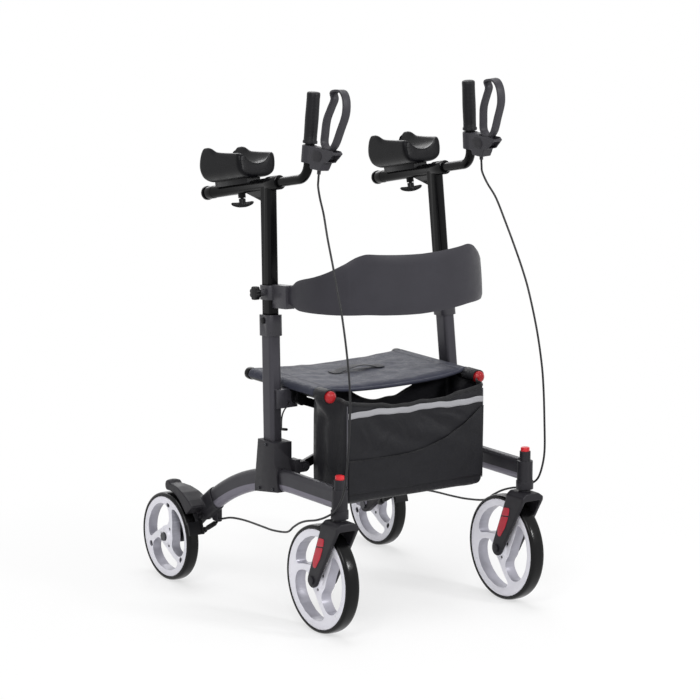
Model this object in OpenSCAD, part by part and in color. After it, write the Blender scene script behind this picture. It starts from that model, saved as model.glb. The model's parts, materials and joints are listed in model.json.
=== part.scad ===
// Upright walker: two wheeled side frames joined by a folding cross brace,
// with height-adjustable posts, forearm rests, hand brakes, a sling seat, a tote bag and a back strap.
// The front of the walker faces -Y, and the floor is z = 0.

/* [Wheels] */
// Radius of the front wheels
front_wheel_r = 127; // [115:1:135]
// Width of the front tyres
front_tyre_w = 36; // [28:1:40]
// Radius of the rear wheels
rear_wheel_r = 108; // [100:1:114]
// Width of the rear tyres
rear_tyre_w = 32; // [26:1:34]
// Distance between the front and rear axles
wheelbase = 598; // [580:1:620]
// Distance of the front wheels, casters and beams from the middle
frame_x = 264; // [258:1:275]
// Distance of the rear wheels from the middle
rear_wheel_x = 307; // [305:1:320]
// Radial thickness of the tyres
tyre_depth = 9; // [6:0.5:12]
// Radius of the rounded tyre shoulders
tyre_round = 6; // [3:0.5:8]
// Radial thickness of the rim band under the tyre
rim_band = 8; // [5:0.5:12]
// Thickness of the rim's spoked web
rim_web = 27; // [18:1:30]
// Radius of the wheel hubs
hub_r = 17; // [14:0.5:22]
// Radius of the axle bolts
axle_r = 6; // [4:0.5:8]

/* [Caster] */
// How far the front axle trails behind the swivel axis
caster_trail = 68; // [55:1:75]
// Gap between the front tyre and each fork leg
fork_gap = 4; // [3:0.5:6]
// Thickness of a fork leg
fork_leg_t = 9; // [7:0.5:11]
// Width of a fork leg at the crown
fork_top_w = 66; // [54:1:70]
// Radius of a fork leg's round end at the axle
fork_end_r = 18; // [14:0.5:20]
// Height of the fork crown
crown_h = 18; // [14:1:22]
// Clearance between the front tyre and the fork crown
crown_gap = 4; // [3:0.5:8]
// Height of the spacer between the crown and the caster housing
spacer_h = 6; // [4:0.5:8]
// Radius of the spacer
spacer_r = 14; // [12:0.5:18]
// Radius of the swivel stem
stem_r = 8; // [6:0.5:9]
// Radius of the caster housing's lower collar
housing_collar_r = 20.5; // [19:0.5:23]
// Height of the caster housing's lower collar
housing_collar_h = 20; // [14:1:24]
// Radius of the caster housing's barrel
barrel_r = 18.5; // [17:0.5:19]
// Height of the caster housing's barrel
barrel_h = 48; // [42:1:52]
// Radius of the caster housing's neck
neck_r = 13; // [12:0.5:14]
// Height of the caster housing's neck
neck_h = 23; // [18:1:26]
// Radius of the red release button
caster_button_r = 10.5; // [8:0.5:11]
// Height that the release button stands out of the neck
caster_button_out = 9; // [6:0.5:12]

/* [Beam] */
// Width of the beam's oval section
beam_w = 26; // [22:1:30]
// Height of the beam's oval section
beam_h = 52; // [44:1:56]
// Height of the beam's straight front run above the caster housing's foot
beam_lift = 45.7; // [44:0.1:50]
// Where the beam starts to curve down, behind the front axle
beam_bend_y = 110; // [100:1:120]
// Radius of the beam's curve
beam_bend_r = 630; // [615:1:645]
// Angle that the beam curves through
beam_bend_deg = 39; // [38:0.5:40]

/* [Rear bracket] */
// Wall of the socket round the beam's end
socket_wall = 3; // [2.5:0.5:7]
// Angle of the beam's curve that the socket covers
socket_deg = 6; // [4:0.5:8]
// Gap between the rear tyre and the bracket beside it
rear_side_gap = 8; // [6:0.5:9]
// Gap between the rear tyre's tread and the hood over it
hood_gap = 5; // [4:0.5:8]
// Thickness of the arm that carries the rear axle
axle_arm_t = 18; // [12:1:20]
// Radius of the arm's round end at the rear axle
axle_boss_r = 19; // [15:0.5:24]
// Thickness of the brake arm's plate
brake_arm_t = 5; // [4:0.5:6]
// Gap between the brake shoe and the tread
shoe_gap = 3; // [2.5:0.25:4]
// Thickness of the brake shoe
shoe_t = 6; // [5:0.5:10]
// Radius of the brake arm's pivot
brake_pivot_r = 4; // [3:0.5:5]

/* [Posts] */
// Height of the post's reference point above the beam's straight run
post_lift = 82; // [78:1:86]
// Distance of the post's reference point from the middle
post_x = 259; // [257:0.5:262]
// Distance of the post's reference point behind the front axle
post_y = 217; // [212:1:222]
// Angle that the posts lean back
lean_back = 4.85; // [4:0.05:6]
// Angle that the posts lean inwards
lean_in = 2.1; // [1.5:0.05:2.5]
// Width of the lower post
post_w = 31; // [29:0.5:33]
// Depth of the lower post
post_d = 42; // [38:0.5:46]
// Corner radius of the lower post
post_round = 9; // [6:0.5:11]
// Wall of both posts
post_wall = 2; // [1.5:0.25:2.5]
// Gap between the sliding post and what guides it
slide_gap = 0.3; // [0.2:0.05:0.4]
// Length of the lower post above its reference point
lower_post_len = 262; // [255:1:270]
// Length of the lower post below its reference point
post_foot = 36; // [30:1:38]
// Height of the inner post's lower end above the reference point
inner_post_start = 60; // [50:1:80]
// Height of the collar's lower edge above the reference point
collar_start = 246; // [240:1:250]
// Height of the collar
collar_h = 49; // [44:1:54]
// Wall of the collar round the lower post
collar_wall = 5; // [4:0.5:5.5]
// Radius of the height button
height_button_r = 7; // [5:0.5:9]
// How far the height button stands out of the collar
height_button_out = 4; // [3:0.5:6]

/* [Post bracket] */
// Thickness of the bracket across the beam
bracket_w = 48; // [44:1:50]
// Height of the bracket's top above the beam's straight run
bracket_up = 85; // [80:1:90]
// Drop of the bracket's foot below the beam's straight run
bracket_down = 43; // [38:1:48]
// Depth of the bracket at its foot
bracket_foot_d = 98; // [90:1:104]
// Depth of the bracket at its top
bracket_top_d = 70; // [64:1:76]

/* [Brace] */
// Distance of the seat rails and brace pivots from the middle
rail_x = 212; // [208:1:213]
// Height of the lower brace pivots above the beam's straight run
pivot_lift = 27; // [17:1:34]
// Where the braces cross, behind the front axle
brace_y = 170; // [166:1:173]
// Height of a brace bar's section
bar_h = 20; // [16:1:22]
// Thickness of a brace bar
bar_t = 11; // [9:0.5:12]
// Gap between the two brace bars
bar_gap = 2; // [1:0.25:3]
// Radius of the round ends of the brace bars
bar_end_r = 12.5; // [11:0.5:13]
// Radius of the brace bolts
brace_bolt_r = 4; // [3:0.5:5]
// Thickness of a pivot lug
lug_t = 8; // [6:0.5:9]

/* [Seat] */
// Height of the seat rails above the post's reference point
rail_lift = 127; // [115:1:140]
// Radius of the seat rails
rail_r = 13; // [11:0.5:13.5]
// Front end of the seat rails' tubes, behind the front axle
rail_front_y = 58; // [50:1:60]
// Rear end of the seat rails, behind the front axle
rail_rear_y = 390; // [380:1:400]
// Length of the red rail caps
cap_len = 21; // [16:1:26]
// Radius of the red rail caps
cap_r = 14; // [13.5:0.5:15]
// Drop from a rail's axis to the brace pivot in its lug
lug_drop = 27; // [24:1:30]
// Front edge of the sling, behind the front axle
sling_front_y = 96; // [94:1:100]
// Rear edge of the sling, behind the front axle
sling_rear_y = 372; // [360:1:378]
// Thickness of the sling
sling_t = 3.5; // [2.5:0.25:5]
// Sag of the sling at its middle
sling_sag = 9; // [4:1:16]
// Depth of the saddle that a rail rests in
saddle_d = 32; // [24:1:36]
// Height of the saddle
saddle_h = 44; // [36:1:50]

/* [Bag] */
// Half the width of the tote bag
bag_half_w = 193; // [180:1:195]
// Front of the bag, behind the front axle
bag_front_y = -5; // [-10:1:0]
// Back of the bag, behind the front axle
bag_back_y = 140; // [130:1:141]
// Clearance between the bag's bottom and the fork crowns below it
bag_clear = 10; // [6:1:24]
// Drop of the bag's top edge below the seat rails, at its sides
bag_drop = 8; // [4:1:30]
// Sag of the bag's top edge in the middle
bag_sag = 22; // [10:1:40]
// Thickness of the bag's walls
bag_wall = 4; // [3:0.5:6]
// Corner radius of the bag
bag_round = 22; // [14:1:30]
// Width of the loops that hang the bag from the rails
loop_w = 32; // [20:1:33]
// Thickness of the loops
loop_t = 2.5; // [2:0.25:3]

/* [Back strap] */
// How far the strap bulges forward of its ends
strap_reach = 176; // [160:1:180]
// Thickness of the strap
strap_t = 5; // [4:0.5:6]
// Height of the strap at its ends
strap_end_h = 36; // [30:1:44]
// Height of the strap next to its ends
strap_neck_h = 71; // [60:1:80]
// Height of the strap at its upper corners
strap_corner_h = 140; // [120:1:150]
// Height of the strap at its middle
strap_mid_h = 140; // [120:1:150]
// Drop of the strap's lower edge below the middle of its ends
strap_drop = 26; // [20:1:32]
// Drop of the lower edge at the strap's middle
strap_mid_drop = 34; // [26:1:40]
// Height of the clamp's lower edge above the post's reference point
clamp_start = 330; // [325:1:335]
// Height of the back clamp
clamp_h = 34; // [28:1:40]
// Wall of the back clamp round the post
clamp_wall = 4.5; // [3.5:0.5:5]
// Length of the block that holds the strap's end
block_len = 52; // [44:1:56]
// Height of the block
block_h = 54; // [50:1:60]
// Thickness of the block
block_w = 24; // [20:1:26]
// Radius of the back clamp's knob
back_knob_r = 16; // [13:0.5:18]
// Thickness of the back clamp's knob
back_knob_t = 12; // [9:0.5:15]

/* [Arms] */
// Height of the arm tube's axis above the post's reference point, along the post
arm_s = 598; // [590:1:606]
// Angle that the arm tube rises to the front, from square to the post
arm_pitch = 6.65; // [4:0.05:9]
// Angle that the arm tube turns inwards at the front
arm_toe = 1.7; // [0:0.1:3]
// Radius of the arm tube
arm_r = 14.3; // [14:0.1:15]
// Length of the arm tube behind the post's axis
arm_rear = 252; // [240:1:260]
// Length of the arm tube in front of the post's axis
arm_front = 40; // [34:1:44]
// Length of the bush at the arm tube's mouth
bush_len = 44; // [36:1:50]
// Wall of the bush outside the arm tube
bush_wall = 2.4; // [1.5:0.1:3]
// Length of the gusset along the arm tube
gusset_len = 66; // [50:1:70]
// Depth of the gusset
gusset_h = 33; // [24:1:40]
// Thickness of the gusset
gusset_t = 12; // [8:1:16]
// Place of the wing knob behind the post's axis
wing_y = 112; // [108:1:118]
// Length across the wings of the knob
wing_span = 54; // [48:1:60]
// Height of the wings
wing_h = 14; // [11:1:24]
// Thickness of the wings
wing_t = 7; // [5:0.5:9]

/* [Pads] */
// Front end of the forearm pad behind the post's axis
pad_front = 36; // [30:1:50]
// Length of the forearm pad
pad_len = 171; // [150:1:176]
// Width of the forearm pad
pad_w = 106; // [90:1:112]
// Height of the pad's underside above the arm tube's axis
pad_lift = 20; // [17:0.5:24]
// Height of the pad's walls at the rear hump
pad_rear_h = 81.5; // [66:0.5:86]
// Thickness of the pad's walls
pad_wall = 9; // [8:0.5:12]
// Height of the trough's floor above the pad's underside
pad_floor = 28; // [22:1:32]
// Corner radius of the pad's section
pad_round = 26; // [20:1:32]
// Width of the plate that carries the pad
pad_plate_w = 40; // [30:1:50]

/* [Handles] */
// Radius of the handle tube
handle_r = 11.1; // [10.5:0.1:11.5]
// Wall of the handle tube
handle_wall = 1.8; // [1.2:0.1:2.4]
// Length of the handle tube inside the arm tube, behind the post's axis
handle_in = 100; // [90:1:105]
// Distance from the post's axis to the handle's upright
handle_reach = 157; // [150:1:164]
// Radius of the handle's bend
handle_bend_r = 40; // [34:1:44]
// Angle that the handle bends through
handle_bend_deg = 77; // [72:0.5:82]
// Angle that the handle leans inwards
handle_roll = 1.8; // [0:0.1:4]
// Length of the upright from the bend's corner
upright_len = 188; // [180:1:195]
// Start of the hand grip from the bend's corner
grip_start = 80; // [78:1:86]
// Length of the hand grip
grip_len = 117; // [104:1:122]
// Radius of the hand grip
grip_r = 15.5; // [14:0.25:17]
// Radius of the hand grip's end flanges
grip_end_r = 17; // [15:0.25:18.5]

/* [Brakes] */
// Start of the brake housing's clamp from the bend's corner
housing_start = 36; // [34:1:40]
// Height of the brake housing's clamp
housing_h = 40; // [36:1:41]
// Radius of the brake housing's clamp
housing_clamp_r = 17.5; // [16:0.5:19]
// Thickness of the brake housing
housing_w = 27; // [24:1:30]
// How far the brake housing reaches forward of the upright
housing_reach = 112; // [104:1:120]
// Width of the lever's band
lever_w = 20; // [16:1:21]
// Thickness of the lever's band
lever_t = 5; // [4:0.25:6]
// Height of the lever's loop above the bend's corner
lever_top = 214.5; // [200:0.5:220]
// Forward place of the lever's pivot
lever_pivot_f = 76; // [72:1:80]
// Height of the lever's pivot
lever_pivot_s = 58; // [54:1:60]
// Radius of the lever's pivot pin
lever_pin_r = 3; // [2.5:0.25:3.5]
// Diameter of the brake cable
cable_d = 5; // [4:0.25:5.5]

/* [Hidden] */
left = 1;
right = -1;
$fn = 64;

// Colours, as on the object
gunmetal = "#55545a";
gloss_black = "#1a1a1c";
soft_black = "#26262b";
dark_grey = "#4d4c52";
charcoal = "#3c3b42";
seat_grey = "#3f4047";
silver = "#d9d7df";
red = "#c0353f";
steel = "#9a9a9e";

// Clearances
overrun = 1;
seat_gap = 0.2;
run_gap = 0.05;
turn_gap = 0.5;
soft_gap = 0.3;

// Places that follow from the driving sizes; y counts back from the front axle until a part is placed
front_axle_y = (front_wheel_r - rear_wheel_r - wheelbase) / 2;
swivel_y = -caster_trail;
leg_in = front_tyre_w / 2 + fork_gap;
leg_out = leg_in + fork_leg_t;
crown_z = 2 * front_wheel_r + crown_gap;
crown_top = crown_z + crown_h;
housing_z = crown_top + spacer_h + soft_gap;
barrel_z = housing_z + housing_collar_h;
neck_z = barrel_z + barrel_h;
neck_top = neck_z + neck_h;
beam_z = housing_z + beam_lift;
post_z = beam_z + post_lift;
rail_z = post_z + rail_lift;
pivot_z = beam_z + pivot_lift;
bracket_top = beam_z + bracket_up;
bracket_foot = beam_z - bracket_down;
bag_bottom = crown_top + bag_clear;
bag_top = rail_z - bag_drop;
crown_round = 12;
crown_slope = 10;
crown_flat = 18;
hub_out = 2.5;
rim_inset = 1.5;
bolt_head = 4;
bolt_head_t = 4;
button_travel = 2;
button_depth = 5.5;

// Rim openings: shares of the rim's radius, with spokes that swirl
opening_mid_share = 0.56;
opening_half_share = 0.29;
opening_corner_share = 0.55;
opening_swirl = 14.5;
opening_steps = 36;
spoke_half = 8;
spokes = 3;
front_turn = 44.5;
rear_turn = -100.5;

// Rear bracket
beam_end = [beam_bend_y + beam_bend_r * sin(beam_bend_deg),
            beam_z - beam_bend_r * (1 - cos(beam_bend_deg))];
rear_axle = [wheelbase, rear_wheel_r];
bracket_in = frame_x - beam_w / 2 - socket_wall;
bracket_out = rear_wheel_x - rear_tyre_w / 2 - rear_side_gap;
hood_r = rear_wheel_r + hood_gap;
hood_depth = 34;
hood_inset = 5;
hood_out = rear_wheel_x + rear_tyre_w / 2 - hood_inset;
hood_end_deg = 0.05;
hood_steps = 12;
// The bracket's forms turn with the direction from the axle to the beam's end
arm_deg = atan2(beam_end[1] - rear_axle[1], beam_end[0] - rear_axle[0]);
// Outer edge of the hood: angles from that direction, and shares of the hood's depth
hood_turns = [-55, -43, -31, -19, -7, 2];
hood_degs = [for (a = hood_turns) arm_deg + a];
hood_shares = [0.42, 0.52, 0.64, 0.80, 1.00, 1.12];
lobe_r = 12.5;
lobe_turn = -52;
lobe_deg = arm_deg + lobe_turn;
lobe_lift_share = 0.8;
shoe_r = rear_wheel_r + shoe_gap;
shoe_turns = [13, 29];
shoe_degs = [for (a = shoe_turns) arm_deg + a];
shoe_inset = 1;
shoe_w = rear_tyre_w - 2 * shoe_inset;
brake_arm_d = 10;
brake_pivot_turn = 9;
brake_pivot_deg = arm_deg + brake_pivot_turn;
brake_pivot_out = 13;
brake_pivot_ring = shoe_r + brake_pivot_out;
brake_arm_x = bracket_out + turn_gap;
cable_block = [14, 26, 40];
cable_block_fore = 55.5;
cable_block_rise = 17.4;
cable_block_y = beam_end[0] - cable_block_fore;
cable_block_top = beam_end[1] + cable_block_rise;
hood_root_share = 0.25;

// Posts
inner_w = post_w - 2 * (post_wall + slide_gap);
inner_d = post_d - 2 * (post_wall + slide_gap);
inner_round = post_round - post_wall - slide_gap;
height_button_drop = 6;
height_button_s = collar_start + collar_h - height_button_r - height_button_drop;
height_button_in = 3;
saddle_top_drop = 5;
saddle_reach = 10;
saddle_y = 198;

// Post bracket outline: shares of its height
bracket_shift = 9;
shoulder_share = 0.17;
foot_rise = 14;
step_shares = [0.50, 0.62];
step_d = 6;

// Brace
bar_a = -1;
bar_b = 1;
upper_pivot_z = rail_z - lug_drop;
brace_angle = atan2(upper_pivot_z - pivot_z, 2 * rail_x);
brace_len = norm([2 * rail_x, upper_pivot_z - pivot_z]);
brace_mid_z = (pivot_z + upper_pivot_z) / 2;
lug_base = 14;
lug_h = 36;
lug_gap = 2;
rail_wall = 2;

// Back clamp
ring_w = inner_w + 2 * (slide_gap + clamp_wall);
ring_d = inner_d + 2 * (slide_gap + clamp_wall);
ring_round = inner_round + slide_gap + clamp_wall;
block_x = -5;
block_drop = 8;
block_front = ring_d / 2 + block_len;
boss_len = 16;
boss_r = 8;
knob_stem_r = 4;
knob_gap = 0.5;
knob_lobes = 8;
lobe_cut_r = 4;
strap_gap = 0.3;
strap_steps = 40;
// The strap's plan is a superellipse; its edges run straight between ends, necks, upper corners and middle
strap_power = 2 / 3;
strap_neck_turn = 4.5;
strap_corner_turn = 63;
strap_tops = [[0, strap_end_h / 2], [strap_neck_turn, strap_neck_h - strap_drop],
    [strap_corner_turn, strap_corner_h - strap_drop], [90, strap_mid_h - strap_mid_drop]];
strap_lows = [[0, -strap_end_h / 2], [strap_neck_turn, -strap_drop],
    [strap_corner_turn, -strap_drop], [90, -strap_mid_drop]];
strap_end = post_point([block_x, -block_front - strap_gap, clamp_start + clamp_h / 2 - block_drop]);

// Arms
arm_bore_gap = 0.08;
arm_cap_t = 6;
bush_over = 7;
wing_boss_r = 9;
wing_boss_h = 9;
wing_hub_r = 8;
wing_hub_h = 22;
wing_turn = 50;
wing_stem_r = 4;
gusset_lap = 9;
pad_plate_lap = 8;
trough_flat = 1;
// Top edge of the pad's walls: shares of its length and of its height at the hump
pad_top_shares = [[0, 0.7], [0.5, 0.83], [0.6, 0.87], [0.7, 0.97], [0.8, 1], [0.93, 1], [1, 0.95]];

// Handles
bend_setback = handle_bend_r * tan(handle_bend_deg / 2);
tube_gap = 0.1;
bend_swell = 0.05;
grip_round = 5;
grip_flange = 6;
// Side outline of the brake housing: shares of its reach and of its top's height
housing_top = housing_start + housing_h;
housing_shares = [[0, 0.47], [0.19, 0.47], [0.22, 0.33], [0.56, 0.33], [0.66, 0.58],
                  [0.78, 0.62], [1, 0.92], [0.93, 1], [0, 1]];
slot_shares = [[0.39, 0.64], [0.95, 0.64], [0.95, 1.2], [0.39, 1.2]];
adjuster_r = 4.5;
adjuster_start = 14;
adjuster_len = 14;
adjuster_share = 0.385;
lever_boss_r = 8;
lever_web_w = 14;
lever_steps = 6;
// Middle line of the lever's loop: shares of its height
lever_shares = [[0.364, 0.345], [0.268, 0.40], [0.262, 0.52], [0.277, 0.66], [0.335, 0.786],
                [0.383, 0.885], [0.360, 0.955], [0.455, 0.987], [0.540, 0.970], [0.595, 0.885],
                [0.600, 0.748], [0.534, 0.583], [0.456, 0.413]];

// Brake cable: points along its route on the left, y from the front axle and z from the beam,
// and its end at the rear bracket's cable block
cable_points = [
    [228.9, 70.2, 730.4], [230.5, 70.7, 707.4], [231.7, 69.3, 693], [236, 55, 668], [243, 30, 636],
    [250, 4, 586], [256, -26, 529], [261, -52, 476], [264, -74, 425], [268, -100, 342],
    [271, -117, 262], [274, -122, 199], [278, -122, 122], [282, -119, 57], [284, -109, 16],
    [288, -88, -19], [291, -58, -39], [293, -20, -55], [294, 22, -66], [291, 55, -78],
    [288, 85, -94], [285, 117, -113], [281, 180, -123], [276, 233, -126], [271, 315, -129],
    [266, 384, -137]
];
cable_end_in = 4;
cable_end_gap = 1;
cable_end_drop = 31;
cable_lead = [2, -17, 4];
cable_end = [frame_x - cable_end_in, cable_block_y - cable_end_gap, cable_block_top - cable_end_drop];
cable_route = concat([for (p = cable_points) p + [0, 0, beam_z]], [cable_end + cable_lead, cable_end]);
cable_sides = 8;
cable_steps = 3;

// Turns a point of the left post's own frame into the walker's frame
function post_point(p) =
    let (y = p[1] * cos(lean_back) + p[2] * sin(lean_back), z = p[2] * cos(lean_back) - p[1] * sin(lean_back))
    [post_x + p[0] * cos(lean_in) - z * sin(lean_in),
     post_y + y,
     post_z + p[0] * sin(lean_in) + z * cos(lean_in)];

function polar(r, a) = [r * cos(a), r * sin(a)];
function signed_pow(v, p) = sign(v) * pow(abs(v), p);
// Point on a smooth curve through four neighbours
function curve_point(a, b, c, d, u) =
    (2 * b + (c - a) * u + (2 * a - 5 * b + 4 * c - d) * u * u + (3 * b - a - 3 * c + d) * u * u * u) / 2;
function closed_curve(p, steps) = [
    for (i = [0 : len(p) - 1], j = [0 : steps - 1])
        curve_point(p[(i + len(p) - 1) % len(p)], p[i], p[(i + 1) % len(p)], p[(i + 2) % len(p)], j / steps)
];
function open_curve(p, steps) = [
    for (i = [0 : len(p) - 2], j = [0 : (i == len(p) - 2 ? steps : steps - 1)])
        curve_point(p[max(i - 1, 0)], p[i], p[i + 1], p[min(i + 2, len(p) - 1)], j / steps)
];
function unit(v) = v / norm(v);
function side_of(p, i, n) = let (d = unit(p[(i + 1) % n] - p[(i + n - 1) % n])) [d[1], -d[0]];
function beside(p, d) = [for (i = [0 : len(p) - 1]) p[i] + d * side_of(p, i, len(p))];

// Puts a left-hand part in its place, mirrored for the right side
module placed(side) translate([0, front_axle_y, 0])
    if (side == left)
        children();
    else
        mirror([1, 0, 0])
            children();

// Extrudes an outline drawn in Y and Z across X
module across(x0, x1) translate([x0, 0, 0]) rotate([90, 0, 90]) linear_extrude(x1 - x0) children();
// Extrudes an outline drawn in X and Z along Y
module along(y0, y1) translate([0, y1, 0]) rotate([90, 0, 0]) linear_extrude(y1 - y0) children();
// Rod along X, or along Y
module rod_x(r, x0, x1) translate([x0, 0, 0]) rotate([0, 90, 0]) cylinder(r = r, h = x1 - x0);
module rod_y(r, y0, y1) translate([0, y1, 0]) rotate([90, 0, 0]) cylinder(r = r, h = y1 - y0);

module rounded(w, d, r) {
    square([w - 2 * r, d], center = true);
    square([w, d - 2 * r], center = true);
    for (x = [-1, 1], y = [-1, 1])
        translate([x * (w / 2 - r), y * (d / 2 - r)])
            circle(r);
}

module oval(w, h) {
    square([w, h - w], center = true);
    for (y = [-1, 1])
        translate([0, y * (h - w) / 2])
            circle(w / 2);
}

module sector(r0, r1, a0, a1) polygon(concat(
    [for (i = [0 : hood_steps]) polar(r0, a0 + (a1 - a0) * i / hood_steps)],
    [for (i = [hood_steps : -1 : 0]) polar(r1, a0 + (a1 - a0) * i / hood_steps)]));

// Frames of the post, the arm tube, the handle and the handle's upright on the left side
module on_post() translate([post_x, post_y, post_z]) rotate([-lean_back, -lean_in, 0]) children();
module on_arm() on_post() translate([0, 0, arm_s]) rotate([-arm_pitch, 0, -arm_toe]) children();
module on_handle() on_arm() rotate([0, -handle_roll, 0]) children();
module handle_run() translate([0, -handle_reach, 0]) rotate([90 - handle_bend_deg, 0, 0]) children();
module on_upright() on_handle() handle_run() children();
module on_rear_axle() translate([0, rear_axle[0], rear_axle[1]]) children();

// Wheels
module tyre(r, w) {
    shoulder = min(tyre_round, tyre_depth);
    rotate([0, 90, 0])
        rotate_extrude($fn = 128) {
            translate([r - tyre_depth, -w / 2])
                square([tyre_depth - shoulder, w]);
            translate([r - tyre_depth, -w / 2 + shoulder])
                square([tyre_depth, w - 2 * shoulder]);
            intersection() {
                translate([r - tyre_depth, -w / 2])
                    square([tyre_depth, w]);
                for (y = [-1, 1])
                    translate([r - shoulder, y * (w / 2 - shoulder)])
                        circle(shoulder);
            }
        }
}

function opening_point(r, t) = let (
    a = signed_pow(cos(t), opening_corner_share), b = signed_pow(sin(t), opening_corner_share),
    q = r * (opening_mid_share + opening_half_share * b))
    polar(q, a * (180 / spokes - asin(spoke_half / q)) - opening_swirl * b);
module rim_opening(r) polygon([for (i = [0 : opening_steps - 1]) opening_point(r, 360 * i / opening_steps)]);

module rim(r, w, turn) {
    rim_r = r - tyre_depth - run_gap;
    rotate([0, 90, 0])
        difference() {
            union() {
                rotate_extrude($fn = 128)
                    translate([rim_r - rim_band, rim_inset - w / 2])
                        square([rim_band, w - 2 * rim_inset]);
                translate([0, 0, -rim_web / 2])
                    linear_extrude(rim_web)
                        difference() {
                            circle(rim_r - rim_band / 2);
                            for (k = [0 : spokes - 1])
                                rotate(turn + 360 * k / spokes)
                                    rim_opening(rim_r);
                        }
                cylinder(r = hub_r, h = w + 2 * hub_out, center = true);
            }
            cylinder(r = axle_r + run_gap, h = w + 2 * (hub_out + overrun), center = true);
        }
}

module front_rim(side) color(silver) placed(side)
    translate([frame_x, 0, front_wheel_r]) rim(front_wheel_r, front_tyre_w, front_turn);
module front_tyre(side) color(gloss_black) placed(side)
    translate([frame_x, 0, front_wheel_r]) tyre(front_wheel_r, front_tyre_w);
module rear_rim(side) color(silver) placed(side) translate([rear_wheel_x, 0, 0]) on_rear_axle()
    rim(rear_wheel_r, rear_tyre_w, rear_turn);
module rear_tyre(side) color(gloss_black) placed(side) translate([rear_wheel_x, 0, 0]) on_rear_axle()
    tyre(rear_wheel_r, rear_tyre_w);

// Caster fork with its stem and the front axle bolt
module fork_leg_outline() {
    lean = unit([caster_trail, front_wheel_r - crown_top]);
    edge = fork_end_r * [-lean[1], lean[0]];
    hub = [0, front_wheel_r];
    polygon([[swivel_y - fork_top_w / 2, crown_top], [swivel_y - fork_top_w / 2, crown_z],
             hub - edge, hub + edge,
             [swivel_y + fork_top_w / 2, crown_z], [swivel_y + fork_top_w / 2, crown_top]]);
    translate(hub)
        circle(fork_end_r);
}

module caster_fork(side) color(soft_black) placed(side) translate([frame_x, 0, 0]) {
    difference() {
        union() {
            across(leg_in, leg_out) fork_leg_outline();
            across(-leg_out, -leg_in) fork_leg_outline();
            translate([0, swivel_y, crown_z]) {
                linear_extrude(crown_h) rounded(2 * leg_out, fork_top_w, crown_round);
                cylinder(r = spacer_r, h = crown_h + spacer_h);
                cylinder(r = stem_r, h = neck_z - crown_z - turn_gap);
            }
        }
        along(swivel_y - fork_top_w, swivel_y + fork_top_w)
            for (s = [-1, 1])
                polygon([[s * crown_flat, crown_top], [s * crown_flat, crown_top + overrun],
                         [s * (leg_out + overrun), crown_top + overrun],
                         [s * (leg_out + overrun), crown_top - crown_slope]]);
        translate([0, 0, front_wheel_r])
            rod_x(axle_r + run_gap, -leg_out - overrun, leg_out + overrun);
    }
    translate([0, 0, front_wheel_r]) {
        rod_x(axle_r, -leg_out - bolt_head_t, leg_out + bolt_head_t);
        for (x = [-leg_out - run_gap - bolt_head_t, leg_out + run_gap])
            rod_x(axle_r + bolt_head, x, x + bolt_head_t);
    }
}

module caster_housing(side) color(soft_black) placed(side) translate([frame_x, swivel_y, 0])
    difference() {
        union() {
            translate([0, 0, housing_z])
                cylinder(r = housing_collar_r, h = housing_collar_h);
            translate([0, 0, barrel_z])
                cylinder(r = barrel_r, h = barrel_h);
            translate([0, 0, neck_z])
                cylinder(r = neck_r, h = neck_h);
        }
        translate([0, 0, housing_z - overrun])
            cylinder(r = stem_r + run_gap, h = neck_z - housing_z + overrun);
        translate([0, 0, neck_top - button_depth - button_travel - turn_gap])
            cylinder(r = caster_button_r + tube_gap, h = button_depth + button_travel + turn_gap + overrun);
    }

module caster_button(side) color(red) placed(side)
    translate([frame_x, swivel_y, neck_top - button_depth])
        cylinder(r = caster_button_r, h = button_depth + caster_button_out);

// Beam
module beam_arc(w, h, a0, a1) translate([frame_x, beam_bend_y, beam_z - beam_bend_r])
    rotate([0, -90, 0])
        rotate([0, 0, a0])
            rotate_extrude(angle = a1 - a0, $fn = 256)
                translate([beam_bend_r, 0])
                    rotate(90)
                        oval(w, h);
module beam_run(w, h, y0) translate([frame_x, 0, beam_z]) along(y0, beam_bend_y) oval(w, h);

module beam(side) color(gunmetal) placed(side)
    difference() {
        union() {
            beam_run(beam_w, beam_h, swivel_y);
            beam_arc(beam_w, beam_h, 0, beam_bend_deg);
        }
        translate([frame_x, swivel_y, 0]) {
            translate([0, 0, housing_z])
                cylinder(r = barrel_r + seat_gap, h = neck_top - housing_z);
            translate([0, 0, housing_z])
                cylinder(r = housing_collar_r + seat_gap, h = housing_collar_h + seat_gap);
        }
    }

// Rear bracket: socket for the beam, arm for the axle, hood over the tyre and cable block
module axle_arm_outline() {
    lean = unit(rear_axle - beam_end);
    edge = [-lean[1], lean[0]];
    polygon([beam_end + edge * beam_h / 2, beam_end - edge * beam_h / 2,
             rear_axle - edge * axle_boss_r, rear_axle + edge * axle_boss_r]);
    translate(rear_axle) {
        circle(axle_boss_r);
        rotate(arm_deg)
            translate([0, -axle_boss_r])
                square([hood_r + hood_depth * hood_root_share, 2 * axle_boss_r]);
    }
}

module hood_outline() {
    n = len(hood_degs) - 1;
    polygon(concat(
        [for (i = [0 : n]) polar(hood_r + hood_depth * hood_shares[i], hood_degs[i])],
        [for (i = [hood_steps : -1 : 0])
            polar(hood_r, hood_degs[0] + (hood_degs[n] - hood_degs[0]) * i / hood_steps)]));
    difference() {
        translate(polar(hood_r + lobe_r * lobe_lift_share, lobe_deg))
            circle(lobe_r);
        circle(hood_r);
    }
}

module brake_pivot_place() on_rear_axle()
    translate([0, brake_pivot_ring * cos(brake_pivot_deg), brake_pivot_ring * sin(brake_pivot_deg)])
        children();

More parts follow.
